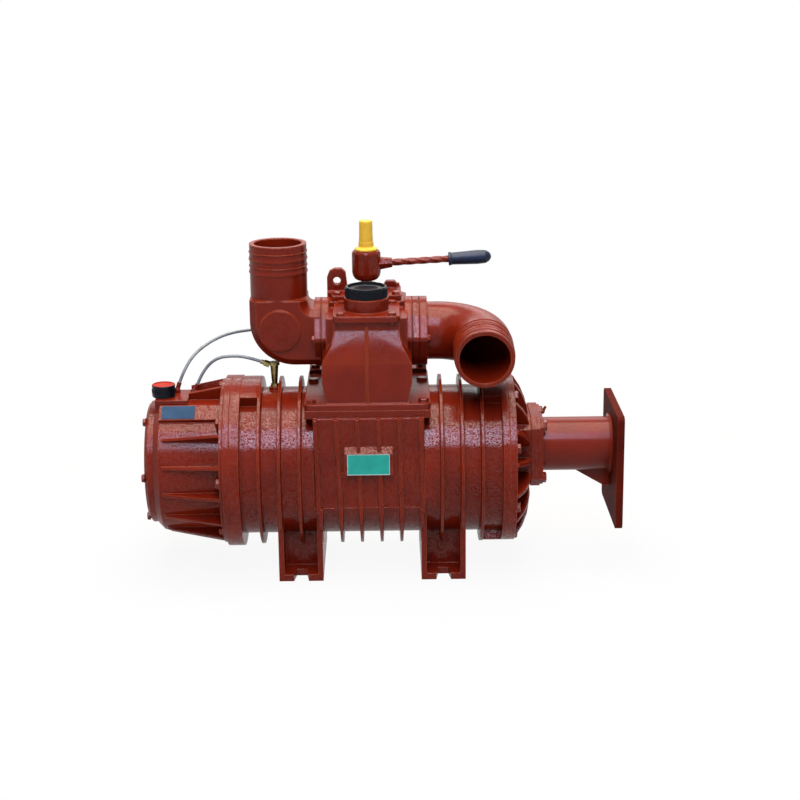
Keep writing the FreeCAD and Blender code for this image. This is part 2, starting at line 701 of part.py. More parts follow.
def build_rotor():
    """Slotted rotor on a stepped shaft, set above the casing axis."""
    start = left_face + d.rotor_clearance
    length = right_face - left_face - d.rotor_clearance * 2
    slot_half = (d.vane_thickness + d.seat_clearance) / 2
    body = new_body("rotor", z=rotor_height)
    disc = circles(body, "rotor_sketch", "YZ_Plane", [(ZERO, ZERO, rotor_radius)], lift=start)
    pad(body, "rotor_drum", disc, length)
    slot = outline(body, "slot_sketch", "YZ_Plane", rectangle(
        -slot_half, d.slot_bottom, slot_half, rotor_radius + 2.0),
        turn=Rotation(Vector(0, 0, 1), 0.5 * 360.0 / VANE_COUNT))
    first = pocket(body, "slot", slot, both=True)
    ring_of(body, "slots", first, VANE_COUNT)
    hole = circles(body, "shaft_hole_sketch", "YZ_Plane", [(ZERO, ZERO, d.core_radius + d.running_clearance)])
    pocket(body, "shaft_hole", hole, both=True)

    shaft = new_body("rotor_shaft", z=rotor_height)
    profile = outline(shaft, "shaft_sketch", "XZ_Plane", [
        (pump_shaft_end, ZERO), (pump_shaft_end, pump_shaft_radius),
        (pump_shoulder, pump_shaft_radius), (pump_shoulder, d.shaft_radius),
        (start, d.shaft_radius), (start, d.core_radius),
        (start + length, d.core_radius), (start + length, d.shaft_radius),
        (shaft_end - 2.0, d.shaft_radius), (shaft_end, d.shaft_radius - 2.0), (shaft_end, ZERO)])
    revolve(shaft, "shaft", profile)


pump_shoulder = rear_hub_face - 5.0
pump_shaft_radius = as_size(9.0)
pump_case_back = as_size(12.0)
pump_case_wall = as_size(3.0)
pump_gear_start = rear_hub_face - pump_case_back - d.seat_clearance
pump_gear_end = pump_gear_start - d.gear_width
pump_case_end = pump_gear_end - d.seat_clearance
pump_shaft_end = pump_case_end + 0.3
coupling_start = octagon_face + 4.0
coupling_middle = coupling_start + d.coupling_length / 2
shaft_end = coupling_middle - 1.0
build_rotor()


def build_vanes():
    """Flat vanes, pushed home in their slots and a little below the rotor's face."""
    start = left_face + d.rotor_clearance * 2
    length = right_face - left_face - d.rotor_clearance * 4
    bottom = d.slot_bottom + d.seat_clearance
    for index in range(VANE_COUNT):
        angle = (index + 0.5) * 360.0 / VANE_COUNT
        turn = Rotation(Vector(1, 0, 0), angle)
        sine = math.sin(math.radians(angle))
        cosine = math.cos(math.radians(angle))
        sizes = {"Length": length, "Width": d.vane_thickness, "Height": d.vane_height}
        vane = primitive("Box", f"vane_{index + 1}", sizes, start,
                         -(d.vane_thickness / 2) * cosine - bottom * sine,
                         rotor_height - (d.vane_thickness / 2) * sine + bottom * cosine, turn)
        keep(vane, f"vane_{index + 1}")


build_vanes()


# Bearings and shaft seals

def build_bearing(name, start):
    """Outer race with its rollers, and the inner race that turns with the shaft."""
    race = as_size(7.0)
    gap = d.running_clearance
    outer = d.bearing_radius - gap
    inner = d.shaft_radius + gap
    ring(f"{name}_bearing_inner_race", inner, inner + race, d.bearing_width, start, z=rotor_height)
    low = (inner + race).value
    high = (outer - race + 0.1).value
    roller = (high - low) / 2 - 0.1
    width = d.bearing_width.value - 4.0
    middle = Vector(start.value, 0.0, rotor_height.value)
    pieces = [tube(high, outer.value, d.bearing_width.value, middle, RIGHTWARDS)]
    for point in around(ROLLER_COUNT, (high + low) / 2, 0.0, start.value + 2.0, 0.0, rotor_height.value):
        pieces.append(Part.makeCylinder(roller, width, point, RIGHTWARDS))
    group(f"{name}_bearing_outer", pieces)


rear_bearing_start = rear_hub_face + 4.0
rear_seal_start = rear_bearing_start + d.bearing_width + d.seat_clearance * 2
drive_seal_start = drive_plate_face + 1.0
drive_bearing_start = drive_hub_face - d.bearing_width - d.seat_clearance
outer_seal_start = octagon_face - d.seal_width - d.seat_clearance
build_bearing("rear", rear_bearing_start)
build_bearing("drive", drive_bearing_start)
seal_inner = d.shaft_radius + d.running_clearance
seal_outer = d.seal_radius - d.running_clearance
ring("rear_shaft_seal", seal_inner, seal_outer, d.seal_width, rear_seal_start, z=rotor_height)
group("drive_shaft_seals", [
    tube(seal_inner.value, seal_outer.value, d.seal_width.value,
         Vector(start.value, 0, rotor_height.value), RIGHTWARDS)
    for start in (drive_seal_start, outer_seal_start)])


# Rear bearing plate, oil housing and end plate

rim_bolt_radius = d.barrel_radius + 7.0
shaft_pass = d.shaft_radius + 1.0


def build_rear_plate():
    """Disc that closes the casing at the oil end, with the hub of the rear bearing."""
    body = new_body("rear_bearing_plate", z=d.axis_height)
    disc = circles(body, "disc_sketch", "YZ_Plane", [(ZERO, ZERO, d.left_ring_radius)], lift=left_face)
    pad(body, "disc", disc, d.rear_plate, back=True)
    hub = circles(body, "hub_sketch", "YZ_Plane", [(ZERO, d.rotor_lift, d.hub_radius)], lift=rear_plate_face)
    pad(body, "hub", hub, d.rear_hub_length, back=True)
    seat = circles(body, "bearing_seat_sketch", "YZ_Plane",
                   [(ZERO, d.rotor_lift, d.bearing_radius)], lift=rear_hub_face)
    pocket(body, "bearing_seat", seat, rear_bearing_start + d.bearing_width + d.seat_clearance
           - rear_hub_face, back=True)
    seat = circles(body, "seal_seat_sketch", "YZ_Plane",
                   [(ZERO, d.rotor_lift, d.seal_radius)], lift=rear_hub_face)
    pocket(body, "seal_seat", seat, rear_seal_start + d.seal_width + d.seat_clearance
           - rear_hub_face, back=True)
    hole = circles(body, "shaft_pass_sketch", "YZ_Plane", [(ZERO, d.rotor_lift, shaft_pass)])
    pocket(body, "shaft_pass", hole, both=True)


def build_oil_housing():
    """Ribbed housing over the rear bearing plate, with the filler pad and the plate flat."""
    body = new_body("rear_oil_housing", z=d.axis_height)
    inside = d.housing_radius - d.housing_wall
    flange_face = rear_plate_face - d.housing_flange
    shell = outline(body, "shell_sketch", "XZ_Plane", [
        (rear_plate_face, inside), (rear_plate_face, d.housing_rim), (flange_face, d.housing_rim),
        (flange_face, d.housing_radius), (housing_end + 10.0, d.housing_radius),
        (housing_end, d.housing_radius - 10.0), (housing_end, d.housing_mouth),
        (housing_end + 8.0, d.housing_mouth), (housing_end + 8.0, inside)])
    revolve(body, "shell", shell)
    sink = d.housing_radius - 1.0
    half_pitch = Rotation(Vector(1, 0, 0), 0.5 * 360.0 / WEB_COUNT)
    rib = outline(body, "rib_sketch", "XZ_Plane", [
        (flange_face + 1.0, sink), (flange_face + 1.0, d.housing_rim),
        (housing_end + 17.0, d.rib_tip_radius), (housing_end + 17.0, sink)], turn=half_pitch)
    first = pad(body, "rib", rib, d.housing_rib, both=True)
    ring_of(body, "ribs", first, WEB_COUNT)
    pad_end = housing_end + 58.0
    clear = outline(body, "filler_clear_sketch", "XY_Plane", rectangle(
        housing_end - 2.0, as_size(-62.0), pad_end, as_size(32.0)), lift=inside)
    pocket(body, "filler_clear", clear, as_size(60.0), back=True)
    raised = outline(body, "filler_pad_sketch", "XY_Plane", rectangle(
        housing_end + 1.0, as_size(-50.0), pad_end, as_size(22.0)), lift=inside - 12.0)
    pad(body, "filler_pad", raised, d.filler_pad_height - inside + 12.0)
    raised = outline(body, "line_seat_sketch", "XY_Plane", rectangle(
        pad_end - 4.0, as_size(-11.0), second_line_x + 11.0, as_size(11.0)), lift=inside + 2.0)
    pad(body, "line_seat", raised, d.housing_wall - 0.5)
    clear = outline(body, "plate_clear_sketch", "XZ_Plane", rectangle(
        housing_end + 8.0, d.housing_radius - 1.0, flange_face, d.housing_rim + 14.0), turn=plate_turn)
    pocket(body, "plate_clear", clear, as_size(34.0), both=True)
    flat = outline(body, "plate_flat_sketch", "XZ_Plane", rectangle(
        housing_end + 10.0, inside + 2.0, flange_face + 1.0, plate_flat_radius), turn=plate_turn)
    pad(body, "plate_flat", flat, as_size(34.0), both=True)
    hollow = circles(body, "hollow_sketch", "YZ_Plane", [(ZERO, ZERO, inside)], lift=housing_end + 8.0)
    pocket(body, "hollow", hollow, d.housing_length - 8.0, back=True)
    neck = circles(body, "filler_neck_sketch", "XY_Plane",
                   [(d.filler_x, d.filler_y, filler_neck)], lift=d.filler_pad_height - 1.0)
    pad(body, "filler_neck", neck, as_size(11.0))
    bore = circles(body, "filler_bore_sketch", "XY_Plane",
                   [(d.filler_x, d.filler_y, d.filler_bore)], lift=d.filler_pad_height + 10.0)
    pocket(body, "filler_bore", bore, as_size(40.0))
    bolt_hole(body, flange_face, d.housing_flange, d.flange_bolt, rim_bolt_radius, 0.0, RIM_BOLT_COUNT)


def bolt_hole(body, face, depth, radius, reach, start, count, along=True):
    """A ring of bolt holes about the X axis; start is degrees from the top."""
    hole = radius + d.bolt_clearance
    turn = Rotation(Vector(0, 0, 1), start)
    sketch = circles(body, "bolt_hole_sketch", "YZ_Plane", [(ZERO, reach, hole)], lift=face, turn=turn)
    first = pocket(body, "bolt_hole", sketch, depth, back=along)
    ring_of(body, "bolt_holes", first, count)


def build_end_plate():
    """Turned plate that closes the oil housing."""
    body = new_body("rear_end_plate", z=d.axis_height)
    outer = housing_end - d.end_plate_thickness
    spigot = d.housing_mouth - d.seat_clearance
    profile = outline(body, "end_plate_sketch", "XZ_Plane", [
        (outer, ZERO), (outer, d.end_plate_radius - 6.0), (outer + 5.0, d.end_plate_radius),
        (housing_end, d.end_plate_radius), (housing_end, spigot),
        (housing_end + 5.0, spigot), (housing_end + 5.0, ZERO)])
    revolve(body, "end_plate", profile)
    bolt_hole(body, outer, d.end_plate_thickness, d.cover_bolt, end_bolt_radius, 30.0, END_BOLT_COUNT)


second_line_x = as_size(-305.0)
filler_neck = as_size(15.0)
plate_turn = Rotation(Vector(1, 0, 0), 32.0)
plate_flat_radius = d.housing_radius + 5.5
end_bolt_radius = d.end_plate_radius - 9.0
build_rear_plate()
build_oil_housing()
build_end_plate()


def facing(points, radius, grip, direction):
    """Equal bolts at the given points."""
    return [bolt(radius.value, grip.value, point, direction) for point in points]


rim_face = rear_plate_face - d.housing_flange
points = around(RIM_BOLT_COUNT, rim_bolt_radius.value, 0.0, rim_face.value, 0.0, d.axis_height.value)
bolts = facing(points, d.flange_bolt, d.housing_flange, LEFTWARDS)
outer_face = housing_end - d.end_plate_thickness
points = around(END_BOLT_COUNT, end_bolt_radius.value, 30.0, outer_face.value, 0.0, d.axis_height.value)
group("oil_end_bolts", bolts + facing(points, d.cover_bolt, d.end_plate_thickness, LEFTWARDS))


# Gear oil pump on the end of the shaft

gear_reach = d.gear_module * TOOTH_COUNT / 2
gear_tip = gear_reach + d.gear_module
gear_centre_drop = gear_reach * 2


def gear_shape(bore, phase):
    """A straight-toothed gear about the X axis, with flat-sided teeth."""
    pitch = gear_reach.value
    module = d.gear_module.value
    stations = ((pitch - 1.2 * module, 0.30), (pitch, 0.22), (pitch + 0.87 * module, 0.10))
    step = 2 * math.pi / TOOTH_COUNT
    corners = []
    for tooth in range(TOOTH_COUNT):
        middle = (tooth + phase) * step
        walk = [(r, -half) for r, half in stations] + [(r, half) for r, half in reversed(stations)]
        for radius, half in walk:
            angle = middle + half * step
            corners.append(Vector(0, radius * math.sin(angle), radius * math.cos(angle)))
    face = Part.Face(Part.makePolygon(corners + corners[:1]))
    solid = face.extrude(Vector(d.gear_width.value, 0, 0))
    hole = Part.makeCylinder(bore, d.gear_width.value, Vector(0, 0, 0), Vector(1, 0, 0))
    return solid.cut(hole)


def build_oil_pump():
    """Case, two gears, idler pin and cover of the lubrication pump."""
    idler_z = rotor_height - gear_centre_drop
    wall = as_size(6.0)
    half = gear_tip + wall
    case = block("oil_pump_block", pump_case_end, rear_hub_face, -half, half, idler_z - half, rotor_height + half)
    depth = rear_hub_face - pump_case_back - pump_case_end
    cavity = gear_tip + d.seat_clearance
    upper = cylinder("oil_pump_upper_cavity", cavity, depth, pump_case_end, ZERO, rotor_height)
    lower = cylinder("oil_pump_lower_cavity", cavity, depth, pump_case_end, ZERO, idler_z)
    hole = cylinder("oil_pump_shaft_hole", shaft_pass, as_size(40.0), pump_case_end, ZERO, rotor_height)
    pin_hole = cylinder("oil_pump_pin_hole", idler_pin + 0.05, as_size(40.0), pump_case_end, ZERO, idler_z)
    keep(cut("oil_pump_case", case, fuse("oil_pump_hollows", [upper, lower, hole, pin_hole])), "oil_pump_case")
    plate = block("oil_pump_plate", pump_case_end - 6.0, pump_case_end, -half, half,
                  idler_z - half, rotor_height + half)
    pin = cylinder("oil_pump_pin", idler_pin, rear_hub_face - pump_case_end + 2.0, pump_case_end - 3.0,
                   ZERO, idler_z)
    keep(fuse("oil_pump_cover", [plate, pin]), "oil_pump_cover")
    for label, height, bore, phase in (
            ("oil_pump_drive_gear", rotor_height, pump_shaft_radius.value + 0.02, 0.0),
            ("oil_pump_idler_gear", idler_z, idler_pin.value + d.running_clearance.value, 0.5)):
        gear = doc.addObject("Part::Feature", label)
        gear.Shape = gear_shape(bore, phase)
        place(gear, pump_gear_end, ZERO, height)
        keep(gear, label)


idler_pin = as_size(5.0)
build_oil_pump()


# Drive end cover, bearing housing and adapter

def build_drive_cover():
    """Flange with radial webs that carry the hub of the drive bearing."""
    body = new_body("drive_end_cover", z=d.axis_height)
    disc = circles(body, "disc_sketch", "YZ_Plane", [(ZERO, ZERO, d.right_ring_radius)], lift=right_face)
    pad(body, "disc", disc, d.drive_plate)
    half = d.octagon_half - 2.0
    corner = half - d.octagon_cut
    hub = outline(body, "hub_sketch", "YZ_Plane", octagon(half, corner, d.rotor_lift), lift=drive_plate_face - 1.0)
    pad(body, "hub", hub, d.drive_hub + 1.0)
    reach = d.right_ring_radius - 3.0
    web = outline(body, "web_sketch", "XZ_Plane", [
        (drive_plate_face - 1.0, as_size(45.0)), (drive_plate_face - 1.0, reach),
        (drive_plate_face + 2.0, reach), (drive_plate_face + 14.0, reach - 18.0),
        (drive_plate_face + 23.0, reach - 40.0), (drive_hub_face - 3.0, as_size(86.0)),
        (drive_hub_face - 3.0, as_size(45.0))],
        turn=Rotation(Vector(1, 0, 0), 0.5 * 360.0 / WEB_COUNT))
    first = pad(body, "web", web, d.web_thickness, both=True)
    ring_of(body, "webs", first, WEB_COUNT)
    seat = circles(body, "bearing_seat_sketch", "YZ_Plane",
                   [(ZERO, d.rotor_lift, d.bearing_radius)], lift=drive_hub_face)
    pocket(body, "bearing_seat", seat, d.bearing_width + d.seat_clearance * 2)
    seat = circles(body, "seal_seat_sketch", "YZ_Plane",
                   [(ZERO, d.rotor_lift, d.seal_radius)], lift=drive_hub_face)
    pocket(body, "seal_seat", seat, drive_hub_face - drive_seal_start + d.seat_clearance)
    hole = circles(body, "shaft_pass_sketch", "YZ_Plane", [(ZERO, d.rotor_lift, shaft_pass)])
    pocket(body, "shaft_pass", hole, both=True)
    bolt_hole(body, drive_plate_face, d.drive_plate, d.flange_bolt, rim_bolt_radius - 1.0,
              0.5 * 360.0 / RIM_BOLT_COUNT, RIM_BOLT_COUNT, along=False)


def octagon(half, corner, lift):
    """A square with cut corners, its middle raised by lift."""
    return [(half, lift - corner), (half, lift + corner), (corner, lift + half), (-corner, lift + half),
            (-half, lift + corner), (-half, lift - corner), (-corner, lift - half), (corner, lift - half)]


def build_bearing_housing():
    """Cut-cornered plate that holds the drive bearing and the outer seal."""
    body = new_body("bearing_housing", z=rotor_height)
    corner = d.octagon_half - d.octagon_cut
    face = outline(body, "octagon_sketch", "YZ_Plane", octagon(d.octagon_half, corner, ZERO + 0.0),
                   lift=drive_hub_face)
    pad(body, "octagon", face, d.octagon_thickness)
    seat = circles(body, "seal_seat_sketch", "YZ_Plane", [(ZERO, ZERO, d.seal_radius)], lift=octagon_face)
    pocket(body, "seal_seat", seat, d.seal_width + d.seat_clearance * 2)
    hole = circles(body, "shaft_pass_sketch", "YZ_Plane", [(ZERO, ZERO, shaft_pass)])
    pocket(body, "shaft_pass", hole, both=True)
    hole_radius = d.flange_bolt + d.bolt_clearance
    reach = octagon_bolt
    rings = [(reach, reach, hole_radius), (-reach, reach, hole_radius),
             (-reach, -reach, hole_radius), (reach, -reach, hole_radius)]
    holes = circles(body, "bolt_hole_sketch", "YZ_Plane", rings)
    pocket(body, "bolt_holes", holes, both=True)


def build_adapter():
    """Welded tube with its mounting flange and gusset, which carries the motor plate."""
    start = right_face + d.adapter_start
    body = new_body("drive_adapter", z=rotor_height)
    tube = circles(body, "tube_sketch", "YZ_Plane", [(ZERO, ZERO, d.tube_radius)], lift=start)
    pad(body, "tube", tube, d.adapter_length - d.square_thickness)
    collar = circles(body, "weld_sketch", "YZ_Plane", [(ZERO, ZERO, d.tube_radius + 5.0)],
                     lift=motor_plate_start - 4.0)
    pad(body, "weld_collar", collar, as_size(4.0))
    flange = outline(body, "flange_sketch", "YZ_Plane", octagon(
        d.octagon_half - 3.5, d.octagon_half - d.octagon_cut + 1.5, ZERO + 0.0), lift=start)
    pad(body, "mounting_flange", flange, adapter_flange)
    under = -d.tube_radius
    gusset = outline(body, "gusset_sketch", "XZ_Plane", [
        (motor_plate_start - d.gusset_reach, under + 2.0), (motor_plate_start, under + 2.0),
        (motor_plate_start, under - d.gusset_depth), (motor_plate_start - 12.0, under - d.gusset_depth)])
    pad(body, "gusset", gusset, as_size(8.0), both=True)
    bore = circles(body, "bore_sketch", "YZ_Plane", [(ZERO, ZERO, d.tube_bore)])
    pocket(body, "bore", bore, both=True)
    reach = octagon_bolt
    hole_radius = d.flange_bolt + d.bolt_clearance
    rings = [(reach, reach, hole_radius), (-reach, reach, hole_radius),
             (-reach, -reach, hole_radius), (reach, -reach, hole_radius)]
    rings.append((ZERO, d.octagon_half - nipple_inset, nipple_stem + 1.5))
    holes = circles(body, "bolt_hole_sketch", "YZ_Plane", rings, lift=start)
    pocket(body, "bolt_and_nipple_holes", holes, adapter_flange + 1.0, back=True)


def build_motor_plate():
    """Square plate welded to the adapter tube, with the pilot recess and holes for the motor."""
    body = new_body("motor_plate", z=rotor_height)
    middle = -d.rotor_lift - d.square_drop
    square = outline(body, "square_sketch", "YZ_Plane", rectangle(
        -d.square_half, middle - d.square_half, d.square_half, middle + d.square_half), lift=motor_plate_start)
    pad(body, "square_plate", square, d.square_thickness)
    round_edges(body, "square_corners", d.square_corner, lambda edge: (
        abs(edge.Length - d.square_thickness.value) < 0.01
        and abs(edge.tangentAt(edge.FirstParameter).x) > 0.99))
    bore = circles(body, "bore_sketch", "YZ_Plane", [(ZERO, ZERO, d.tube_bore)])
    pocket(body, "bore", bore, both=True)
    outer = motor_plate_start + d.square_thickness
    recess = circles(body, "pilot_sketch", "YZ_Plane", [(ZERO, ZERO, d.tube_bore + 2.7)], lift=outer)
    pocket(body, "pilot_recess", recess, as_size(6.0))
    pair = [(-d.motor_bolt_half, ZERO, d.motor_bolt_radius), (d.motor_bolt_half, ZERO, d.motor_bolt_radius)]
    holes = circles(body, "motor_hole_sketch", "YZ_Plane", pair, lift=motor_plate_start)
    pocket(body, "motor_holes", holes, d.square_thickness + 1.0, back=True)


motor_plate_start = right_face + d.adapter_start + d.adapter_length - d.square_thickness
adapter_flange = as_size(5.0)
octagon_bolt = as_size(47.5)
nipple_stem = as_size(3.0)
nipple_inset = as_size(4.2)
build_drive_cover()
build_bearing_housing()
build_adapter()
build_motor_plate()
points = around(RIM_BOLT_COUNT, rim_bolt_radius.value - 1.0, 0.5 * 360.0 / RIM_BOLT_COUNT,
                drive_plate_face.value, 0.0, d.axis_height.value)
bolts = facing(points, d.flange_bolt, d.drive_plate, RIGHTWARDS)
adapter_face = octagon_face + adapter_flange
points = [Vector(adapter_face.value, u * octagon_bolt.value, rotor_height.value + v * octagon_bolt.value)
          for u in (-1, 1) for v in (-1, 1)]
group("drive_end_bolts", bolts + facing(
    points, d.flange_bolt, adapter_flange + d.octagon_thickness, RIGHTWARDS))


def build_coupling():
    """Sleeve on the pump shaft with a free bore for the motor's shaft."""
    body = new_body("motor_coupling", z=rotor_height)
    own = d.shaft_radius + 0.02
    end = coupling_start + d.coupling_length
    profile = outline(body, "sleeve_sketch", "XZ_Plane", [
        (coupling_start, own), (coupling_start, d.coupling_radius - 2.0), (coupling_start + 2.0, d.coupling_radius),
        (end - 2.0, d.coupling_radius), (end, d.coupling_radius - 2.0), (end, motor_shaft_radius),
        (coupling_middle, motor_shaft_radius), (coupling_middle, own)])
    revolve(body, "sleeve", profile)


motor_shaft_radius = d.shaft_radius - 1.0
build_coupling()


def build_grease_nipple():
    """Elbow grease nipple on the rim of the bearing housing."""
    x = octagon_face.value
    z = (rotor_height + d.octagon_half - nipple_inset).value
    stem = Part.makeCylinder(nipple_stem.value, 8.0, Vector(x, 0, z), Vector(1, 0, 0))
    knee = Part.makeSphere(4.0, Vector(x + 8.0, 0, z))
    spout = Part.makeCone(3.2, 2.2, 11.0, Vector(x + 8.0, 0, z), Vector(0.55, 0, 1))
    group("grease_nipple", [stem.fuse([knee, spout])])


build_grease_nipple()


# Changeover manifold

def build_manifold():
    """Cast manifold: base, belly, trunk, two port flanges, plug chamber and access well."""
    body = new_body("manifold_body", x=d.manifold_offset, z=joint_plane)
    half = d.base_width / 2
    base = outline(body, "base_sketch", "XY_Plane", rectangle(-half, -d.base_front, half, d.base_rear))
    pad(body, "base", base, d.base_thickness)
    round_edges(body, "base_corners", 12.0, lambda edge: (
        abs(edge.tangentAt(edge.FirstParameter).z) > 0.99))
    raised = outline(body, "rear_ledge_sketch", "XY_Plane", rectangle(
        -half + 2.0, d.base_rear - 30.0, half - 2.0, d.base_rear - 1.0), lift=d.base_thickness - 1.0)
    pad(body, "rear_ledge", raised, as_size(10.0))
    belly = [(d.belly_foot_half, ZERO), (d.belly_foot_half, as_size(16.0)),
             (d.belly_hip_half, as_size(48.0)), (d.belly_hip_half, d.belly_break),
             (d.belly_neck_half + 8.0, d.belly_break + 28.0), (d.belly_neck_half, d.belly_top),
             (d.belly_neck_half, d.platform_top)]
    corners = belly + [(-u, v) for u, v in reversed(belly)]
    sketch = outline(body, "belly_sketch", "XZ_Plane", corners, lift=d.belly_front)
    pad(body, "belly", sketch, d.belly_front, back=True)
    reach = d.belly_front + 20.0
    lean = outline(body, "lean_sketch", "YZ_Plane", [
        (-d.belly_front, d.belly_break), (-d.belly_front + d.belly_lean, d.belly_top),
        (-d.belly_front + d.belly_lean, d.trunk_top), (-reach, d.trunk_top), (-reach, d.belly_break)])
    pocket(body, "lean", lean, d.belly_hip_half * 2 + 20.0, both=True)
    rear = d.base_rear - 2.0
    trunk = outline(body, "trunk_sketch", "XY_Plane", [
        (-d.trunk_half, as_size(-60.0)), (d.trunk_half, as_size(-60.0)), (d.trunk_half, rear - 26.0),
        (d.trunk_half - 18.0, rear), (-d.trunk_half + 18.0, rear), (-d.trunk_half, rear - 26.0)])
    pad(body, "trunk", trunk, d.trunk_top)
    barrel = circles(body, "port_barrel_sketch", "YZ_Plane", [(d.port_back, d.port_height, d.port_bore + 14.0)])
    pad(body, "port_barrel", barrel, d.port_half_span * 2 - 2.0, both=True)
    step = outline(body, "step_sketch", "YZ_Plane", rectangle(
        as_size(-70.0), d.platform_top, d.access_y + d.access_half_y + 1.5, d.trunk_top + 1.0))
    pocket(body, "step", step, d.port_half_span * 2 + 2.0, both=True)
    platform = outline(body, "platform_sketch", "XY_Plane", rectangle(
        -d.access_half_x, d.access_y - d.access_half_y + 9.0, d.access_half_x, ZERO + 0.0),
        lift=d.belly_top - 20.0)
    pad(body, "platform", platform, d.platform_top - d.belly_top + 20.0)
    for tag, side in (("left", -1.0), ("right", 1.0)):
        lift = (d.port_half_span - d.port_flange) * side
        port = port_sketches(body, tag, lift)
        for name, sketch in port:
            pad(body, name, sketch, d.port_flange, back=side < 0)
    keel = outline(body, "keel_sketch", "YZ_Plane", [
        (-d.belly_front - 3.5, d.base_thickness), (-d.belly_front - 3.5, d.belly_break + 1.0),
        (-d.belly_front + d.belly_lean - 3.5, d.belly_top), (-d.belly_front + 40.0, d.belly_top),
        (-d.belly_front + 40.0, d.base_thickness)])
    pad(body, "keel", keel, as_size(4.5), both=True)

    chamber = circles(body, "chamber_sketch", "XY_Plane", [(ZERO, d.valve_y, d.plug_radius)], lift=d.trunk_top)
    pocket(body, "chamber", chamber, d.plug_height + 4.0)
    well = circles(body, "well_sketch", "XY_Plane", [(ZERO, d.access_y, d.access_bore)], lift=d.platform_top)
    pocket(body, "well", well)
    link = circles(body, "link_sketch", "XZ_Plane", [(ZERO, d.port_height, d.access_bore)], lift=-d.access_y)
    pocket(body, "link", link, d.valve_y - d.access_y)
    drain = circles(body, "drain_sketch", "XY_Plane", [(ZERO, d.valve_y, d.access_bore)], lift=d.trunk_top)
    pocket(body, "drain", drain)
    for tag, side in (("left", -1.0), ("right", 1.0)):
        lift = d.port_half_span * side
        port = circles(body, f"{tag}_bore_sketch", "YZ_Plane",
                       [(d.port_back, d.port_height, d.port_bore)], lift=lift)
        pocket(body, f"{tag}_bore", port, d.port_half_span - port_wall, back=side < 0)
    hole = d.flange_bolt + d.bolt_clearance
    rings = [(x, y, hole) for x in (-base_bolt_x, base_bolt_x) for y in base_bolt_rows]
    holes = circles(body, "base_hole_sketch", "XY_Plane", rings, lift=d.base_thickness + 10.0)
    pocket(body, "base_holes", holes, d.base_thickness + 12.0)
    stud = d.cover_bolt + d.bolt_clearance
    eyes = [(d.port_back - d.lug_reach, d.port_height, stud), (d.port_back + d.lug_reach, d.port_height, stud)]
    for tag, side in (("left", -1.0), ("right", 1.0)):
        sketch = circles(body, f"{tag}_stud_sketch", "YZ_Plane", eyes, lift=d.port_half_span * side)
        pocket(body, f"{tag}_studs", sketch, d.port_flange, back=side < 0)
    return body


def port_sketches(body, tag, lift):
    """Sketches of a port flange on the manifold, whose ports lie off its own axis."""
    shifted = [(d.port_back + u, d.port_height + v) for u, v in oval_corners()]
    sketches = [(f"{tag}_port_sides", outline(body, f"{tag}_port_sides_sketch", "YZ_Plane", shifted, lift))]
    rings = [("disc", ZERO + 0.0, d.flange_radius), ("front", -d.lug_reach, d.lug_radius),
             ("rear", d.lug_reach, d.lug_radius)]
    for name, reach, radius in rings:
        sketch = circles(body, f"{tag}_port_{name}_sketch", "YZ_Plane",
                         [(d.port_back + reach, d.port_height, radius)], lift)
        sketches.append((f"{tag}_port_{name}", sketch))
    return sketches


port_wall = d.access_bore + 4.0
base_bolt_x = as_size(96.5)
base_bolt_rows = (as_size(-100.0), as_size(38.0), as_size(104.0))
build_manifold()
ledge_top = base_top + 9.0
bolts = []
for x in (-base_bolt_x, base_bolt_x):
    for row in base_bolt_rows:
        seat = ledge_top if row.value > 60 else base_top
        grip = seat - joint_plane
        point = Vector((d.manifold_offset + x).value, row.value, seat.value)
        bolts.append(bolt(d.flange_bolt.value, grip.value, point, UPWARDS))
group("manifold_bolts", bolts)


def build_port_plate(label, face, thickness, inner):
    """A flat piece of the two-bolt outline: a gasket or the spacer."""
    body = new_body(label, x=face, y=d.port_back, z=port_z)
    oval_flange(body, "plate", ZERO, thickness)
    oval_holes(body, "holes", thickness, thickness, inner)


build_port_plate("port_spacer", spacer_face, d.spacer_thickness, d.port_bore)


def gasket(x):
    """A gasket of the two-bolt outline with its face at x."""
    thickness = d.gasket_thickness.value
    corners = [Vector(0, float(u), float(v)) for u, v in oval_corners()]
    shape = Part.Face(Part.makePolygon(corners + corners[:1])).extrude(Vector(thickness, 0, 0))
    rounds = [(0.0, d.flange_radius)] + [(side * d.lug_reach.value, d.lug_radius) for side in (-1, 1)]
    holes = [(0.0, d.port_bore)]
    holes += [(side * d.lug_reach.value, d.cover_bolt + d.bolt_clearance) for side in (-1, 1)]
    for y, radius in rounds:
        shape = shape.fuse(Part.makeCylinder(float(radius), thickness, Vector(0, y, 0), RIGHTWARDS))
    for y, radius in holes:
        shape = shape.cut(Part.makeCylinder(float(radius), thickness, Vector(0, y, 0), RIGHTWARDS))
    shape = shape.removeSplitter()
    shape.translate(Vector(x.value, d.port_back.value, port_z.value))
    return shape


group("port_gaskets", [gasket(x) for x in (left_elbow_face, right_port_face, right_gasket_face)])


# Hose elbows

hose_bore = d.hose_radius - d.hose_wall


def barb(body, name, start, way, radius, role="XZ_Plane", shift=None):
    """A saw-tooth ridge round a hose tail, about the sketch's upright axis."""
    sink = radius - 1.0
    tooth = outline(body, name + "_sketch", role, [
        (sink, start), (radius + d.barb_height, start), (radius, start + way * 6.0), (sink, start + way * 6.0)],
        shift=shift)
    revolve(body, name, tooth, axis="V_Axis")


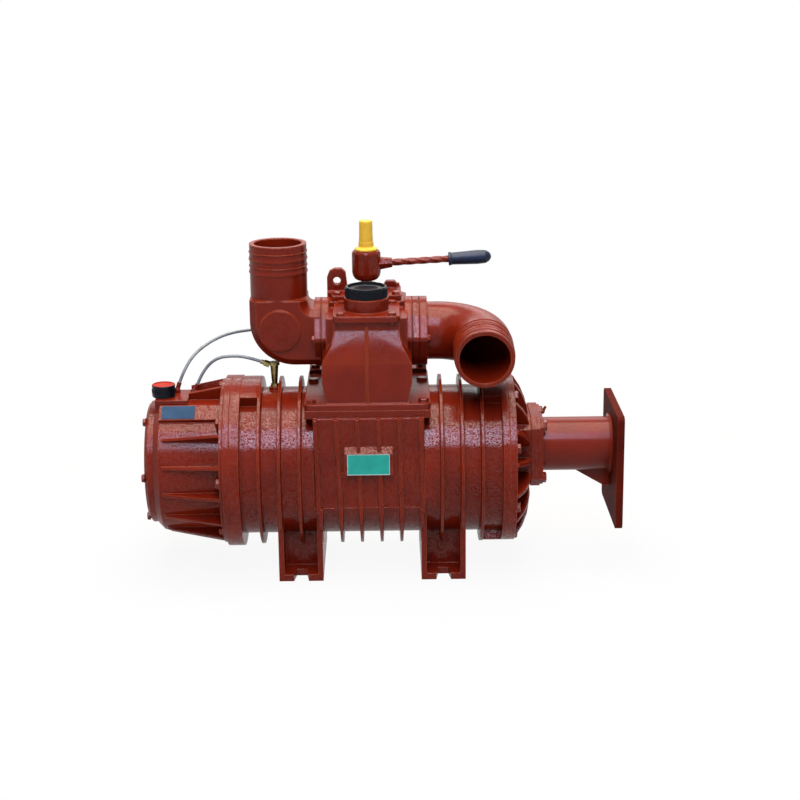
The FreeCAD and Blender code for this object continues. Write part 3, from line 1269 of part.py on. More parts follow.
def build_left_elbow():
    """Square-shouldered elbow with an upright hose tail and a blank boss."""
    body = new_body("left_elbow", x=left_elbow_face - d.left_arm, y=d.port_back, z=port_z)
    radius = d.hose_radius
    arm_end = d.left_arm - 1.0
    box = outline(body, "elbow_box_sketch", "XZ_Plane", [
        (-radius, -radius), (arm_end, -radius), (arm_end, radius), (radius, radius),
        (radius, d.left_shoulder), (-radius, d.left_shoulder)])
    pad(body, "elbow_box", box, radius * 2, both=True)
    round_edges(body, "outer_sweep", d.left_sweep, lambda edge: (
        abs(edge.tangentAt(edge.FirstParameter).y) > 0.99
        and edge.CenterOfMass.x < -radius.value + 0.1 and edge.CenterOfMass.z < -radius.value + 0.1))
    round_edges(body, "inner_sweep", as_size(10.0), lambda edge: (
        abs(edge.tangentAt(edge.FirstParameter).y) > 0.99
        and abs(edge.CenterOfMass.x - radius.value) < 0.1 and abs(edge.CenterOfMass.z - radius.value) < 0.1))
    round_edges(body, "bevel", d.left_edge, lambda edge: (
        abs(abs(edge.CenterOfMass.y) - radius.value) < 0.1
        and edge.CenterOfMass.z < d.left_shoulder.value - 1.0
        and edge.CenterOfMass.x < arm_end.value - 1.0), kind="Chamfer")
    tail = circles(body, "tail_sketch", "XY_Plane", [(ZERO, ZERO, radius)], lift=d.left_shoulder - 20.0)
    pad(body, "tail", tail, d.left_rise - d.left_shoulder + 20.0)
    collar = outline(body, "collar_sketch", "XZ_Plane", [
        (radius + 0.0, d.left_shoulder - 12.0), (radius * 1.5, d.left_shoulder - 12.0),
        (radius * 1.5, d.left_shoulder + 1.0), (radius + 0.0, d.left_shoulder + 1.0)])
    revolve(body, "collar", collar, axis="V_Axis", cut=True)
    for index, back in enumerate((27.0, 50.0)):
        barb(body, f"ridge_{index + 1}", d.left_rise - back, 1.0, radius)
    boss = circles(body, "blank_sketch", "XZ_Plane", [(as_size(2.0), as_size(14.0), d.blank_radius)],
                   lift=radius - 1.0)
    pad(body, "blank_boss", boss, as_size(4.5))
    oval_flange(body, "flange", d.left_arm, d.left_flange, back=True)
    bore = circles(body, "tail_bore_sketch", "XY_Plane", [(ZERO, ZERO, hose_bore)], lift=d.left_rise)
    pocket(body, "tail_bore", bore, d.left_rise + 10.0)
    bore = circles(body, "arm_bore_sketch", "YZ_Plane", [(ZERO, ZERO, hose_bore - 2.0)], lift=d.left_arm)
    pocket(body, "arm_bore", bore, d.left_arm)
    oval_holes(body, "stud_holes", d.left_arm, d.left_flange, None)


def build_right_elbow():
    """Round elbow that turns to the front and hangs a little below level."""
    body = new_body("right_elbow", x=right_elbow_face, y=d.port_back, z=port_z,
                    turn=Rotation(Vector(1, 0, 0), d.right_droop.value))
    level = Rotation(Vector(0, 0, 1), -d.right_droop.value)
    radius = d.hose_radius + 1.0
    oval_flange(body, "flange", ZERO, d.right_flange, turn=level)
    arm = circles(body, "arm_sketch", "YZ_Plane", [(ZERO, ZERO, radius)])
    pad(body, "arm", arm, d.right_arm)
    section = circles(body, "bend_sketch", "YZ_Plane", [(d.right_bend, ZERO, radius)],
                      lift=d.right_arm, shift=-d.right_bend)
    revolve(body, "bend", section, axis="V_Axis", angle=90.0).Reversed = True
    tail_x = d.right_arm + d.right_bend
    tail_end = d.right_bend + d.right_tail
    tail = circles(body, "tail_sketch", "XZ_Plane", [(tail_x, ZERO, radius)], lift=d.right_bend)
    pad(body, "tail", tail, d.right_tail)
    for index, back in enumerate((27.0, 50.0)):
        barb(body, f"ridge_{index + 1}", back - tail_end, -1.0, radius, role="XY_Plane", shift=tail_x)
    bore = hose_bore + 1.5
    section = circles(body, "arm_bore_sketch", "YZ_Plane", [(ZERO, ZERO, bore)], lift=d.right_arm)
    pocket(body, "arm_bore", section, d.right_arm + 1.0)
    section = circles(body, "bend_bore_sketch", "YZ_Plane", [(d.right_bend, ZERO, bore)],
                      lift=d.right_arm, shift=-d.right_bend)
    revolve(body, "bend_bore", section, axis="V_Axis", angle=90.0, cut=True).Reversed = True
    section = circles(body, "tail_bore_sketch", "XZ_Plane", [(tail_x, ZERO, bore)], lift=tail_end)
    pocket(body, "tail_bore", section, d.right_tail)
    oval_holes(body, "stud_holes", d.right_flange, d.right_flange, None, turn=level)


build_left_elbow()
build_right_elbow()
outer_left = left_elbow_face - d.left_flange
outer_right = right_elbow_face + d.right_flange
bolts = []
for face, thread_end, direction in ((outer_left, left_port_face + d.port_flange, LEFTWARDS),
                                    (outer_right, right_port_face - d.port_flange, RIGHTWARDS)):
    grip = abs(face.value - thread_end.value)
    for side in (-1.0, 1.0):
        point = Vector(face.value, (d.port_back + d.lug_reach * side).value, port_z.value)
        bolts.append(bolt(d.cover_bolt.value, grip, point, direction))
group("port_bolts", bolts)


# Access opening with its non-return valve

def build_access():
    """Plate with the threaded neck, seal, knurled cap and the valve under them."""
    plate = new_body("access_plate", x=d.manifold_offset, y=d.access_y, z=platform_z)
    sketch = outline(plate, "plate_sketch", "XY_Plane", rectangle(
        -d.access_half_x, -d.access_half_y, d.access_half_x, d.access_half_y))
    pad(plate, "plate", sketch, d.access_plate)
    round_edges(plate, "plate_corners", 11.0, lambda edge: (
        abs(edge.tangentAt(edge.FirstParameter).z) > 0.99))
    neck = circles(plate, "neck_sketch", "XY_Plane", [(ZERO, ZERO, d.neck_radius)], lift=d.access_plate - 1.0)
    pad(plate, "neck", neck, d.neck_height + 1.0)
    spigot = circles(plate, "spigot_sketch", "XY_Plane", [(ZERO, ZERO, d.spigot_radius)],
                     lift=d.access_plate + d.neck_height - 1.0)
    pad(plate, "spigot", spigot, d.spigot_height + 1.0)
    bore = circles(plate, "bore_sketch", "XY_Plane", [(ZERO, ZERO, neck_bore)], lift=spigot_top - platform_z)
    pocket(plate, "bore", bore)
    hole = d.cover_bolt + d.bolt_clearance
    rings = [(x, y, hole) for x in (-access_bolt_x, access_bolt_x) for y in (-access_bolt_y, access_bolt_y)]
    holes = circles(plate, "bolt_hole_sketch", "XY_Plane", rings, lift=d.access_plate)
    pocket(plate, "bolt_holes", holes)

    ring("access_seal", neck_bore + 1.0, d.spigot_radius - 0.5, d.seal_thickness, d.manifold_offset,
         d.access_y, spigot_top, turn=ALONG_Z)
    cap = new_body("access_cap", x=d.manifold_offset, y=d.access_y, z=spigot_top + d.seal_thickness)
    inner = d.spigot_radius + d.running_clearance
    profile = outline(cap, "cap_sketch", "XZ_Plane", [
        (inner, -d.cap_skirt), (d.cap_radius, -d.cap_skirt), (d.cap_radius, d.cap_roof - 1.0),
        (d.cap_radius - 1.5, d.cap_roof), (d.cap_radius - 10.0, d.cap_roof),
        (d.cap_radius - 12.5, d.cap_roof - 1.5), (ZERO, d.cap_roof - 1.5), (ZERO, ZERO), (inner, ZERO)])
    revolve(cap, "cap", profile, axis="V_Axis")
    knurl(cap, d.cap_radius, -d.cap_skirt, d.cap_skirt + d.cap_roof, 40)

    seat = ring("check_seat", check_throat, d.access_bore - d.seat_clearance, check_seat_height,
                d.manifold_offset, d.access_y, joint_plane, turn=ALONG_Z)
    stop = ring("check_stop", check_throat + 1.0, d.access_bore - d.seat_clearance, d.platform_top - check_stop_low,
                d.manifold_offset, d.access_y, joint_plane + check_stop_low, turn=ALONG_Z)
    ball = primitive("Sphere", "check_ball", {"Radius": check_ball_radius}, d.manifold_offset, d.access_y,
                     check_ball_z)
    keep(ball, "check_ball")
    return seat, stop


def knurl(body, radius, low, height, count):
    """Fine upright grooves round a cap."""
    sketch = outline(body, "knurl_sketch", "XY_Plane", [
        (as_size(-1.1), radius + 0.4), (as_size(1.1), radius + 0.4), (as_size(0.0) + 0.4, radius - 0.9),
        (as_size(0.0) - 0.4, radius - 0.9)], lift=low - 1.0)
    first = pocket(body, "knurl", sketch, height + 2.0, back=True)
    ring_of(body, "knurls", first, count, role="Z_Axis")


neck_bore = as_size(20.0)
access_bolt_x = d.access_half_x - 13.0
access_bolt_y = d.access_half_y - 9.5
check_throat = as_size(15.0)
check_seat_height = as_size(61.0)
check_ball_radius = as_size(20.0)
check_stop_low = as_size(133.0)
check_ball_z = joint_plane + check_seat_height + (
    check_ball_radius * check_ball_radius - check_throat * check_throat).root() + 0.05
build_access()


# Changeover valve and its lever

def build_valve():
    """Cover with the lifting eye, plug with its stem, and the stem seal."""
    cover = new_body("valve_cover", x=d.manifold_offset, y=d.valve_y, z=trunk_z)
    half_x = d.cover_half_x
    half_y = d.cover_half_y
    sketch = outline(cover, "cover_sketch", "XY_Plane", [
        (-half_x, -half_y), (half_x, -half_y), (half_x, half_y - 14.0), (half_x - 14.0, half_y),
        (-half_x + 14.0, half_y), (-half_x, half_y - 14.0), (-half_x, as_size(12.0)),
        (-eye_left, as_size(12.0)), (-eye_left, as_size(-12.0)), (-half_x, as_size(-12.0))])
    pad(cover, "cover", sketch, d.cover_thickness)
    boss = circles(cover, "gland_sketch", "XY_Plane", [(ZERO, ZERO, gland_radius)], lift=d.cover_thickness - 1.0)
    pad(cover, "gland", boss, gland_height + 1.0)
    low = d.cover_thickness - 1.0
    top = d.cover_thickness + d.eye_top
    eye = outline(cover, "eye_sketch", "XZ_Plane", [
        (-eye_left, low), (-eye_left, top - 16.0), (-eye_left + 4.5, top - 4.5), (-eye_left + 14.0, top),
        (-eye_left + 26.0, top), (-eye_left + 33.0, top - 7.0), (-eye_left + 37.0, low)])
    pad(cover, "eye", eye, d.eye_thickness, both=True)
    hole = circles(cover, "eye_hole_sketch", "XZ_Plane", [(-eye_left + 17.5, top - 22.0, d.eye_hole)])
    pocket(cover, "eye_hole", hole, d.eye_thickness + 2.0, both=True)
    lug = outline(cover, "stop_sketch", "XZ_Plane", [
        (as_size(31.0), low), (as_size(31.0), low + 9.0), (as_size(35.0), low + 14.0),
        (as_size(50.0), low + 14.0), (as_size(54.0), low + 9.0), (as_size(54.0), low)], lift=as_size(-12.0))
    pad(cover, "stop_lug", lug, as_size(14.0), back=True)
    seat = circles(cover, "seal_seat_sketch", "XY_Plane", [(ZERO, ZERO, gland_seat)],
                   lift=d.cover_thickness + gland_height)
    pocket(cover, "seal_seat", seat, as_size(8.0))
    bore = circles(cover, "stem_bore_sketch", "XY_Plane", [(ZERO, ZERO, d.stem_radius + d.running_clearance)],
                   lift=d.cover_thickness + gland_height)
    pocket(cover, "stem_bore", bore)
    hole = d.cover_bolt + d.bolt_clearance
    rings = [(x, y, hole) for x in (-cover_bolt_x, cover_bolt_x) for y in (-cover_bolt_y, cover_bolt_y)]
    holes = circles(cover, "bolt_hole_sketch", "XY_Plane", rings, lift=d.cover_thickness)
    pocket(cover, "bolt_holes", holes)
    ring("stem_seal", d.stem_radius + d.running_clearance, gland_seat - d.running_clearance, as_size(7.5),
         d.manifold_offset, d.valve_y, cover_top + gland_height - 7.9, turn=ALONG_Z)

    plug_low = trunk_z - 2.0 - d.plug_height
    plug = new_body("changeover_plug", x=d.manifold_offset, y=d.valve_y, z=plug_low)
    radius = d.plug_radius - d.running_clearance
    drum = circles(plug, "drum_sketch", "XY_Plane", [(ZERO, ZERO, radius)])
    pad(plug, "drum", drum, d.plug_height)
    stem = circles(plug, "stem_sketch", "XY_Plane", [(ZERO, ZERO, d.stem_radius)], lift=d.plug_height - 1.0)
    pad(plug, "stem", stem, head_base - plug_low - d.plug_height + 28.0)
    window_low = port_z - d.port_bore - plug_low + 2.0
    window = d.port_bore * 2 - 4.0
    web = as_size(4.0)
    reach = d.plug_radius + 2.0
    for tag, turned, low, height in (("front", 45.0, window_low, window),
                                     ("rear", 225.0, as_size(-1.0), window_low + window + 1.0)):
        sketch = outline(plug, f"{tag}_channel_sketch", "XY_Plane", rectangle(-reach, -reach, reach, -web),
                         lift=low, turn=Rotation(Vector(0, 0, 1), turned))
        pocket(plug, f"{tag}_channel", sketch, height, back=True)
    cavity = circles(plug, "floor_sketch", "XY_Plane", [(ZERO, ZERO, radius - 8.0)], lift=-1.0)
    pocket(plug, "floor_cavity", cavity, window_low - 9.0, back=True)


def build_lever():
    """Head on the stem, twisted bar, grip and the cap over the head's plug."""
    head = new_body("lever_head", x=d.manifold_offset, y=d.valve_y, z=lever_z)
    top = head_top - lever_z
    low = head_base - lever_z
    radius = d.head_radius
    profile = outline(head, "head_sketch", "XZ_Plane", [
        (ZERO, top), (radius - 6.0, top), (radius - 2.0, top - 1.5), (radius, top - 5.5),
        (radius, low + 14.0), (radius - 1.6, low + 8.0), (radius - 5.0, low + 3.0),
        (radius - 9.0, low + 0.7), (as_size(13.5), low), (ZERO, low)])
    revolve(head, "head", profile, axis="V_Axis")
    wide = boss_across / 3.0 ** 0.5
    flats = [(wide * math.cos(math.radians(a)), wide * math.sin(math.radians(a))) for a in range(0, 360, 60)]
    tilt = Rotation(Vector(1, 0, 0), -d.lever_rise.value)
    slope = math.tan(math.radians(d.lever_rise.value))
    boss = outline(head, "boss_sketch", "YZ_Plane", [(u + 0.0001, v + 0.0001) for u, v in flats],
                   lift=radius - 10.0, turn=tilt, rise=(radius - 10.0) * slope)
    feature = pad(head, "boss", boss, d.bar_start - radius + 10.0)
    feature.TaperAngle = -7.0
    bore = circles(head, "bar_bore_sketch", "YZ_Plane", [(ZERO, ZERO, d.bar_radius + 0.1)],
                   lift=d.bar_start + 1.0, turn=tilt, rise=(d.bar_start + 1.0) * slope)
    pocket(head, "bar_bore", bore, bar_inset + 2.5)
    bore = circles(head, "stem_bore_sketch", "XY_Plane", [(ZERO, ZERO, d.stem_radius + 0.02)], lift=low)
    pocket(head, "stem_bore", bore, as_size(28.3), back=True)
    bore = circles(head, "cap_bore_sketch", "XY_Plane", [(ZERO, ZERO, cap_spigot + d.running_clearance)], lift=top)
    pocket(head, "cap_bore", bore, as_size(8.0))

    cap = new_body("lever_cap", x=d.manifold_offset, y=d.valve_y, z=head_top)
    profile = outline(cap, "cap_sketch", "XZ_Plane", [
        (ZERO, as_size(-7.0)), (cap_spigot, as_size(-7.0)), (cap_spigot, ZERO), (as_size(20.5), ZERO),
        (as_size(20.5), as_size(3.0)), (as_size(17.0), as_size(5.0)), (as_size(13.5), as_size(6.5)),
        (as_size(13.2), as_size(14.0)), (as_size(12.4), as_size(15.5)), (as_size(11.6), as_size(51.0)),
        (as_size(10.0), as_size(53.0)), (ZERO, as_size(53.0))])
    revolve(cap, "cap", profile, axis="V_Axis")


def twisted_bar():
    """Square bar twisted along its length, round where it enters the head and the grip."""
    radius = d.bar_radius.value
    start = d.bar_start.value
    end = d.bar_end.value
    steps = 30
    turns = 450.0
    wires = []
    for index in range(steps + 1):
        x = start + 2.0 + (end - start - 3.0) * index / steps
        corners = []
        for corner in range(8):
            reach = radius * (1.0 if corner % 2 else 0.82)
            angle = math.radians(turns * index / steps + 45.0 * corner)
            corners.append(Vector(x, reach * math.sin(angle), reach * math.cos(angle)))
        wires.append(Part.makePolygon(corners + corners[:1]))
    shape = Part.makeLoft(wires, True, True)
    for low, high in ((start - bar_inset.value, start + 2.5), (end - 2.0, end + bar_in_grip.value)):
        shape = shape.fuse(Part.makeCylinder(radius, high - low, Vector(low, 0, 0), RIGHTWARDS))
    return shape


def build_handle():
    """Bar and grip, both along the lever's rising axis."""
    tilt = Rotation(Vector(0, 1, 0), -d.lever_rise.value)
    bar = doc.addObject("Part::Feature", "lever_bar")
    bar.Shape = twisted_bar()
    place(bar, d.manifold_offset, d.valve_y, lever_z, tilt)
    keep(bar, "lever_bar")
    grip = new_body("lever_grip", d.manifold_offset, d.valve_y, lever_z, tilt)
    inner = d.bar_radius + 0.02
    end = d.grip_end
    radius = d.grip_radius
    profile = outline(grip, "grip_sketch", "XZ_Plane", [
        (d.bar_end, inner), (d.bar_end, radius), (d.bar_end + 4.0, radius), (d.bar_end + 6.0, radius - 1.2),
        (end - 24.0, radius + 0.6), (end - 10.0, radius - 0.4), (end - 4.0, radius - 4.0),
        (end - 1.0, radius - 8.0), (end, ZERO), (d.bar_end + bar_in_grip + 1.0, ZERO),
        (d.bar_end + bar_in_grip + 1.0, inner)])
    revolve(grip, "grip", profile)


eye_left = as_size(70.0)
gland_radius = as_size(20.0)
gland_height = as_size(12.0)
gland_seat = as_size(15.0)
cover_bolt_x = d.cover_half_x - 9.0
cover_bolt_y = d.cover_half_y - 9.5
lever_z = head_base + 28.5
boss_across = as_size(23.0)
bar_inset = as_size(14.0)
bar_in_grip = as_size(40.0)
cap_spigot = as_size(9.0)
build_valve()
build_lever()
build_handle()
bolts = []
for x in (-access_bolt_x, access_bolt_x):
    for y in (-access_bolt_y, access_bolt_y):
        point = Vector((d.manifold_offset + x).value, (d.access_y + y).value, access_top.value)
        bolts.append(bolt(d.cover_bolt.value, d.access_plate.value, point, UPWARDS))
for x in (-cover_bolt_x, cover_bolt_x):
    for y in (-cover_bolt_y, cover_bolt_y):
        point = Vector((d.manifold_offset + x).value, (d.valve_y + y).value, cover_top.value)
        bolts.append(bolt(d.cover_bolt.value, d.cover_thickness.value, point, UPWARDS))
group("top_bolts", bolts)


# Plates without any lettering

name_z = d.axis_height + d.plate_lift
plate = block("name_plate", d.plate_centre - d.plate_width / 2, d.plate_centre + d.plate_width / 2,
              -d.boss_proud - 0.8, -d.boss_proud, name_z - d.plate_height / 2, name_z + d.plate_height / 2)
keep(plate, "name_plate")


def build_info_plate():
    """Small plate on the slanting flat of the oil housing."""
    body = new_body("info_plate", z=d.axis_height)
    sketch = outline(body, "info_sketch", "XZ_Plane", rectangle(
        housing_end + 14.0, plate_flat_radius, housing_end + 72.0, plate_flat_radius + 0.8), turn=plate_turn)
    pad(body, "plate", sketch, as_size(30.0), both=True)


build_info_plate()


# Oil filler cap

def build_filler():
    """Seal and knurled cap over the threaded filler neck."""
    top = d.axis_height + d.filler_pad_height
    ring("filler_seal", filler_neck + 0.3, d.filler_radius - 2.0, d.seal_thickness, d.filler_x, d.filler_y, top,
         turn=ALONG_Z)
    cap = new_body("filler_cap", x=d.filler_x, y=d.filler_y, z=top + d.seal_thickness)
    inner = filler_neck + d.running_clearance
    profile = outline(cap, "cap_sketch", "XZ_Plane", [
        (inner, ZERO), (d.filler_radius - 1.0, ZERO), (d.filler_radius, as_size(1.5)),
        (d.filler_radius, as_size(16.0)), (d.filler_radius - 2.0, as_size(18.5)),
        (d.filler_radius - 5.0, as_size(20.0)), (ZERO, as_size(20.0)), (ZERO, as_size(11.0)),
        (inner, as_size(11.0))])
    revolve(cap, "cap", profile, axis="V_Axis")
    knurl(cap, d.filler_radius, ZERO + 1.0, as_size(14.0), 24)


build_filler()


# Oil lines and their fittings

def brass_fitting(point, height):
    """Tapered fitting with a hexagon foot and a broad top."""
    foot = hexagon(12.0, 6.0)
    foot.translate(point)
    cone = Part.makeCone(4.8, 7.4, height - 9.0, point + Vector(0, 0, 5.0))
    top = Part.makeCylinder(9.6, 5.0, point + Vector(0, 0, height - 5.0))
    return foot.fuse([cone, top])


def union(seat, end, direction, length=9.0):
    """Small hexagon nut with a sleeve round the end of an oil line, starting behind that end."""
    nut = hexagon(10.0, seat + 3.0)
    sleeve = Part.makeCylinder(4.0, seat + length, Vector(0, 0, 0))
    hole = Part.makeCylinder(d.oil_line_radius.value + 0.05, length + 1.0, Vector(0, 0, seat))
    shape = nut.fuse(sleeve).cut(hole)
    shape.Placement = Placement(end - direction * seat, Rotation(Vector(0, 0, 1), direction))
    return shape


def swivel_union(foot, direction):
    """Foot on a flat, with a ball and a sleeve that leans along the oil line."""
    knee = foot + Vector(0, 0, KNEE_HEIGHT)
    shape = Part.makeCylinder(5.5, KNEE_HEIGHT, foot).fuse(Part.makeSphere(5.0, knee))
    sleeve = Part.makeCylinder(4.0, KNEE_REACH + 8.0, knee, direction)
    hole = Part.makeCylinder(d.oil_line_radius.value + 0.05, 20.0, knee + direction * KNEE_REACH, direction)
    below = Part.makeBox(20.0, 20.0, 10.0, foot - Vector(10.0, 10.0, 10.0))
    return shape.fuse(sleeve).cut(hole).cut(below)


def from_knee(foot, points):
    """The route of an oil line that starts in a swivel union."""
    knee = foot + Vector(0, 0, KNEE_HEIGHT)
    way = (Vector(*points[0]) - knee).normalize()
    return [tuple(knee + way * KNEE_REACH)] + points


def line_shape(label, points):
    """A tube through straight runs joined by tangent arcs."""
    points = [Vector(*p) for p in points]
    edges = []
    here = points[0]
    radii = []
    for before, corner, after in zip(points, points[1:], points[2:]):
        entry = (corner - before).normalize()
        leave = (after - corner).normalize()
        run = min((corner - before).Length, (after - corner).Length)
        half = entry.getAngle(leave) / 2
        setback = 0.45 * run
        radius = setback / math.tan(half)
        radii.append(round(radius, 1))
        first = corner - entry * setback
        last = corner + leave * setback
        inward = (leave - entry).normalize()
        middle = corner + inward * (radius / math.cos(half) - radius)
        edges.append(Part.LineSegment(here, first).toShape())
        edges.append(Part.Arc(first, middle, last).toShape())
        here = last
    edges.append(Part.LineSegment(here, points[-1]).toShape())
    wire = Part.Wire(edges)
    start = points[0]
    direction = (points[1] - points[0]).normalize()
    section = Part.Wire([Part.Circle(start, direction, d.oil_line_radius.value).toShape()])
    shape = wire.makePipeShell([section], True, False)
    volume = math.pi * d.oil_line_radius.value ** 2 * wire.Length
    print(label, "length", round(wire.Length, 1), "radii", radii, "volume ratio", round(shape.Volume / volume, 4))
    return shape


KNEE_HEIGHT = 5.0
KNEE_REACH = 5.5
long_foot = Vector(-341.0, 5.0, (d.axis_height + d.filler_pad_height).value)
short_foot = Vector(-308.5, 0.0, (d.axis_height + d.housing_radius + 1.5).value)
LONG_LINE = from_knee(long_foot, [
    (-331.0, 9.0, 350.0), (-308.0, 29.0, 384.0), (-262.0, 72.0, 404.0), (-205.0, 99.0, 406.0),
    (-150.0, 112.0, 406.0), (-104.0, 113.0, 401.0), (-82.0, 108.0, 384.0), (-80.0, 106.0, 357.0)])
SHORT_LINE = from_knee(short_foot, [
    (-299.0, 0.0, 347.0), (-273.0, 0.0, 378.0), (-236.0, 0.0, 382.0), (-207.0, 0.0, 376.5),
    (-183.0, 0.0, 367.5)])
for label, points in (("long_oil_line", LONG_LINE), ("short_oil_line", SHORT_LINE)):
    group(label, [line_shape(label, points)])
    print(label, [[round(value, 2) for value in point] for point in points])


def ends(points):
    """End points of a route and the way from each end into the line."""
    first, second, before, last = [Vector(*points[i]) for i in (0, 1, -2, -1)]
    return first, (second - first).normalize(), last, (before - last).normalize()


front_seat = Vector(injector_x.value, 0, (d.axis_height + injector_seat).value)
rear_seat = Vector(-80.0, 106.0, (joint_plane + d.base_thickness + 9.0).value)
long_start, long_way, long_end, long_back = ends(LONG_LINE)
short_start, short_way, short_end, short_back = ends(SHORT_LINE)
fittings = [brass_fitting(front_seat, 44.5).fuse(union(7.0, short_end, short_back)),
            brass_fitting(rear_seat, 21.0).fuse(union(7.0, long_end, long_back)),
            swivel_union(long_foot, long_way),
            swivel_union(short_foot, short_way)]
group("oil_line_fittings", fittings)


# Checks and export

doc.recompute()
faults = []
for obj in doc.Objects:
    if any(word in obj.State for word in ("Invalid", "Error")):
        faults.append(f"{obj.Name}: {obj.State}")
for node in NODES:
    if node.Shape.isNull() or not node.Shape.isValid() or not node.Shape.Solids:
        faults.append(f"{node.Label}: no valid solid")
if faults:
    raise RuntimeError("; ".join(faults))
os.makedirs("parts", exist_ok=True)
for node in NODES:
    node.Shape.exportStep(f"parts/{node.Label}.step")
    print(node.Label, len(node.Shape.Solids), round(node.Shape.Volume / 1000, 1))
print(len(NODES), "pieces")
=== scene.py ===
"""Dresses the sliding-vane vacuum pump: its paint, bolts, caps, lever, oil lines and studio."""

import logging
import math
from collections.abc import Iterable, Mapping
from dataclasses import dataclass, field
from enum import Enum
from typing import Any

import bmesh
import bpy
from mathutils import Matrix, Vector


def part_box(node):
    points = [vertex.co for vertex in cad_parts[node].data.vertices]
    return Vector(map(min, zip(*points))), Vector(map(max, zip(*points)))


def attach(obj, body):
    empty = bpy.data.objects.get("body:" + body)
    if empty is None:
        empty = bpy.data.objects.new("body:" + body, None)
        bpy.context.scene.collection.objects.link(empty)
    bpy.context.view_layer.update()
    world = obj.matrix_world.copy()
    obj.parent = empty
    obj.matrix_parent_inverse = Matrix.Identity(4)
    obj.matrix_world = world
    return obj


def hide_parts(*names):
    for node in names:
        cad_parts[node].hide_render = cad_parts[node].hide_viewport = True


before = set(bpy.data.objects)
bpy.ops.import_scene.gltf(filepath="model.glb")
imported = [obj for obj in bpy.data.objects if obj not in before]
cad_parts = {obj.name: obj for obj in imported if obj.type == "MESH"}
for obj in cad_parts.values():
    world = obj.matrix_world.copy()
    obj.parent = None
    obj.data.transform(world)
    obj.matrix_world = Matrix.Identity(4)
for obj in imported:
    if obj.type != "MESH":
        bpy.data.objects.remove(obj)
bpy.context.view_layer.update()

LOG = logging.getLogger("vacuum_pump")
MM = 0.001
PUMP_BODY = "pump"
ALONG_PUMP = Vector((1.0, 0.0, 0.0))
UPWARDS = Vector((0.0, 0.0, 1.0))
# Corners this near are one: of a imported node's triangles, and at a turned cap's poles.
WELD_DISTANCE = 0.004 * MM
POLE_DISTANCE = 0.01 * MM
FLAT_WITHIN = math.radians(0.25)
# Edges are rounded from this many degrees past the angle that is still shaded smooth.
ROUNDED_PAST = 10.0
ROUNDING_STEPS = 2
WIDE_FACE_WEIGHT = 75
HEXAGON = 6


# Nodes and colours

def linear(hex_colour: str) -> tuple[float, float, float, float]:
    """Turns an sRGB hex colour into a linear one.

    Args:
        hex_colour: six hex digits after a #.

    Returns:
        Linear red, green and blue, with an alpha of one.
    """
    channels = []
    for start in (1, 3, 5):
        value = int(hex_colour[start:start + 2], 16) / 255.0
        channels.append(value / 12.92 if value <= 0.04045 else ((value + 0.055) / 1.055) ** 2.4)
    return channels[0], channels[1], channels[2], 1.0


def add(tree: bpy.types.NodeTree, kind: str, inputs: Mapping[str | int, Any] | None = None,
        **settings: Any) -> bpy.types.Node:
    """Adds a node with its settings and links.

    Args:
        tree: the shader or geometry tree that gets the node.
        kind: the node's type name.
        inputs: for each input a value, a socket to link, or a node whose first output is linked.
        settings: the node's own properties.

    Returns:
        The new node.
    """
    node = tree.nodes.new(kind)
    for name, value in settings.items():
        setattr(node, name, value)
    for key, value in (inputs or {}).items():
        if isinstance(value, bpy.types.Node):
            value = value.outputs[0]
        if isinstance(value, bpy.types.NodeSocket):
            tree.links.new(value, node.inputs[key])
        else:
            node.inputs[key].default_value = value
    return node


def fresh_tree(owner: bpy.types.Material | bpy.types.World) -> bpy.types.NodeTree:
    """Turns on an owner's nodes and empties its tree.

    Args:
        owner: the material or world.

    Returns:
        The empty tree.
    """
    owner.use_nodes = True
    owner.node_tree.nodes.clear()
    return owner.node_tree


# Finishes

# Noise keeps to the middle of its range, so these parts of it are stretched to the whole.
DRIFT_RANGE = (0.35, 0.65)
GRAIN_RANGE = (0.3, 0.7)
SPECKLE_RANGE = (0.42, 0.58)


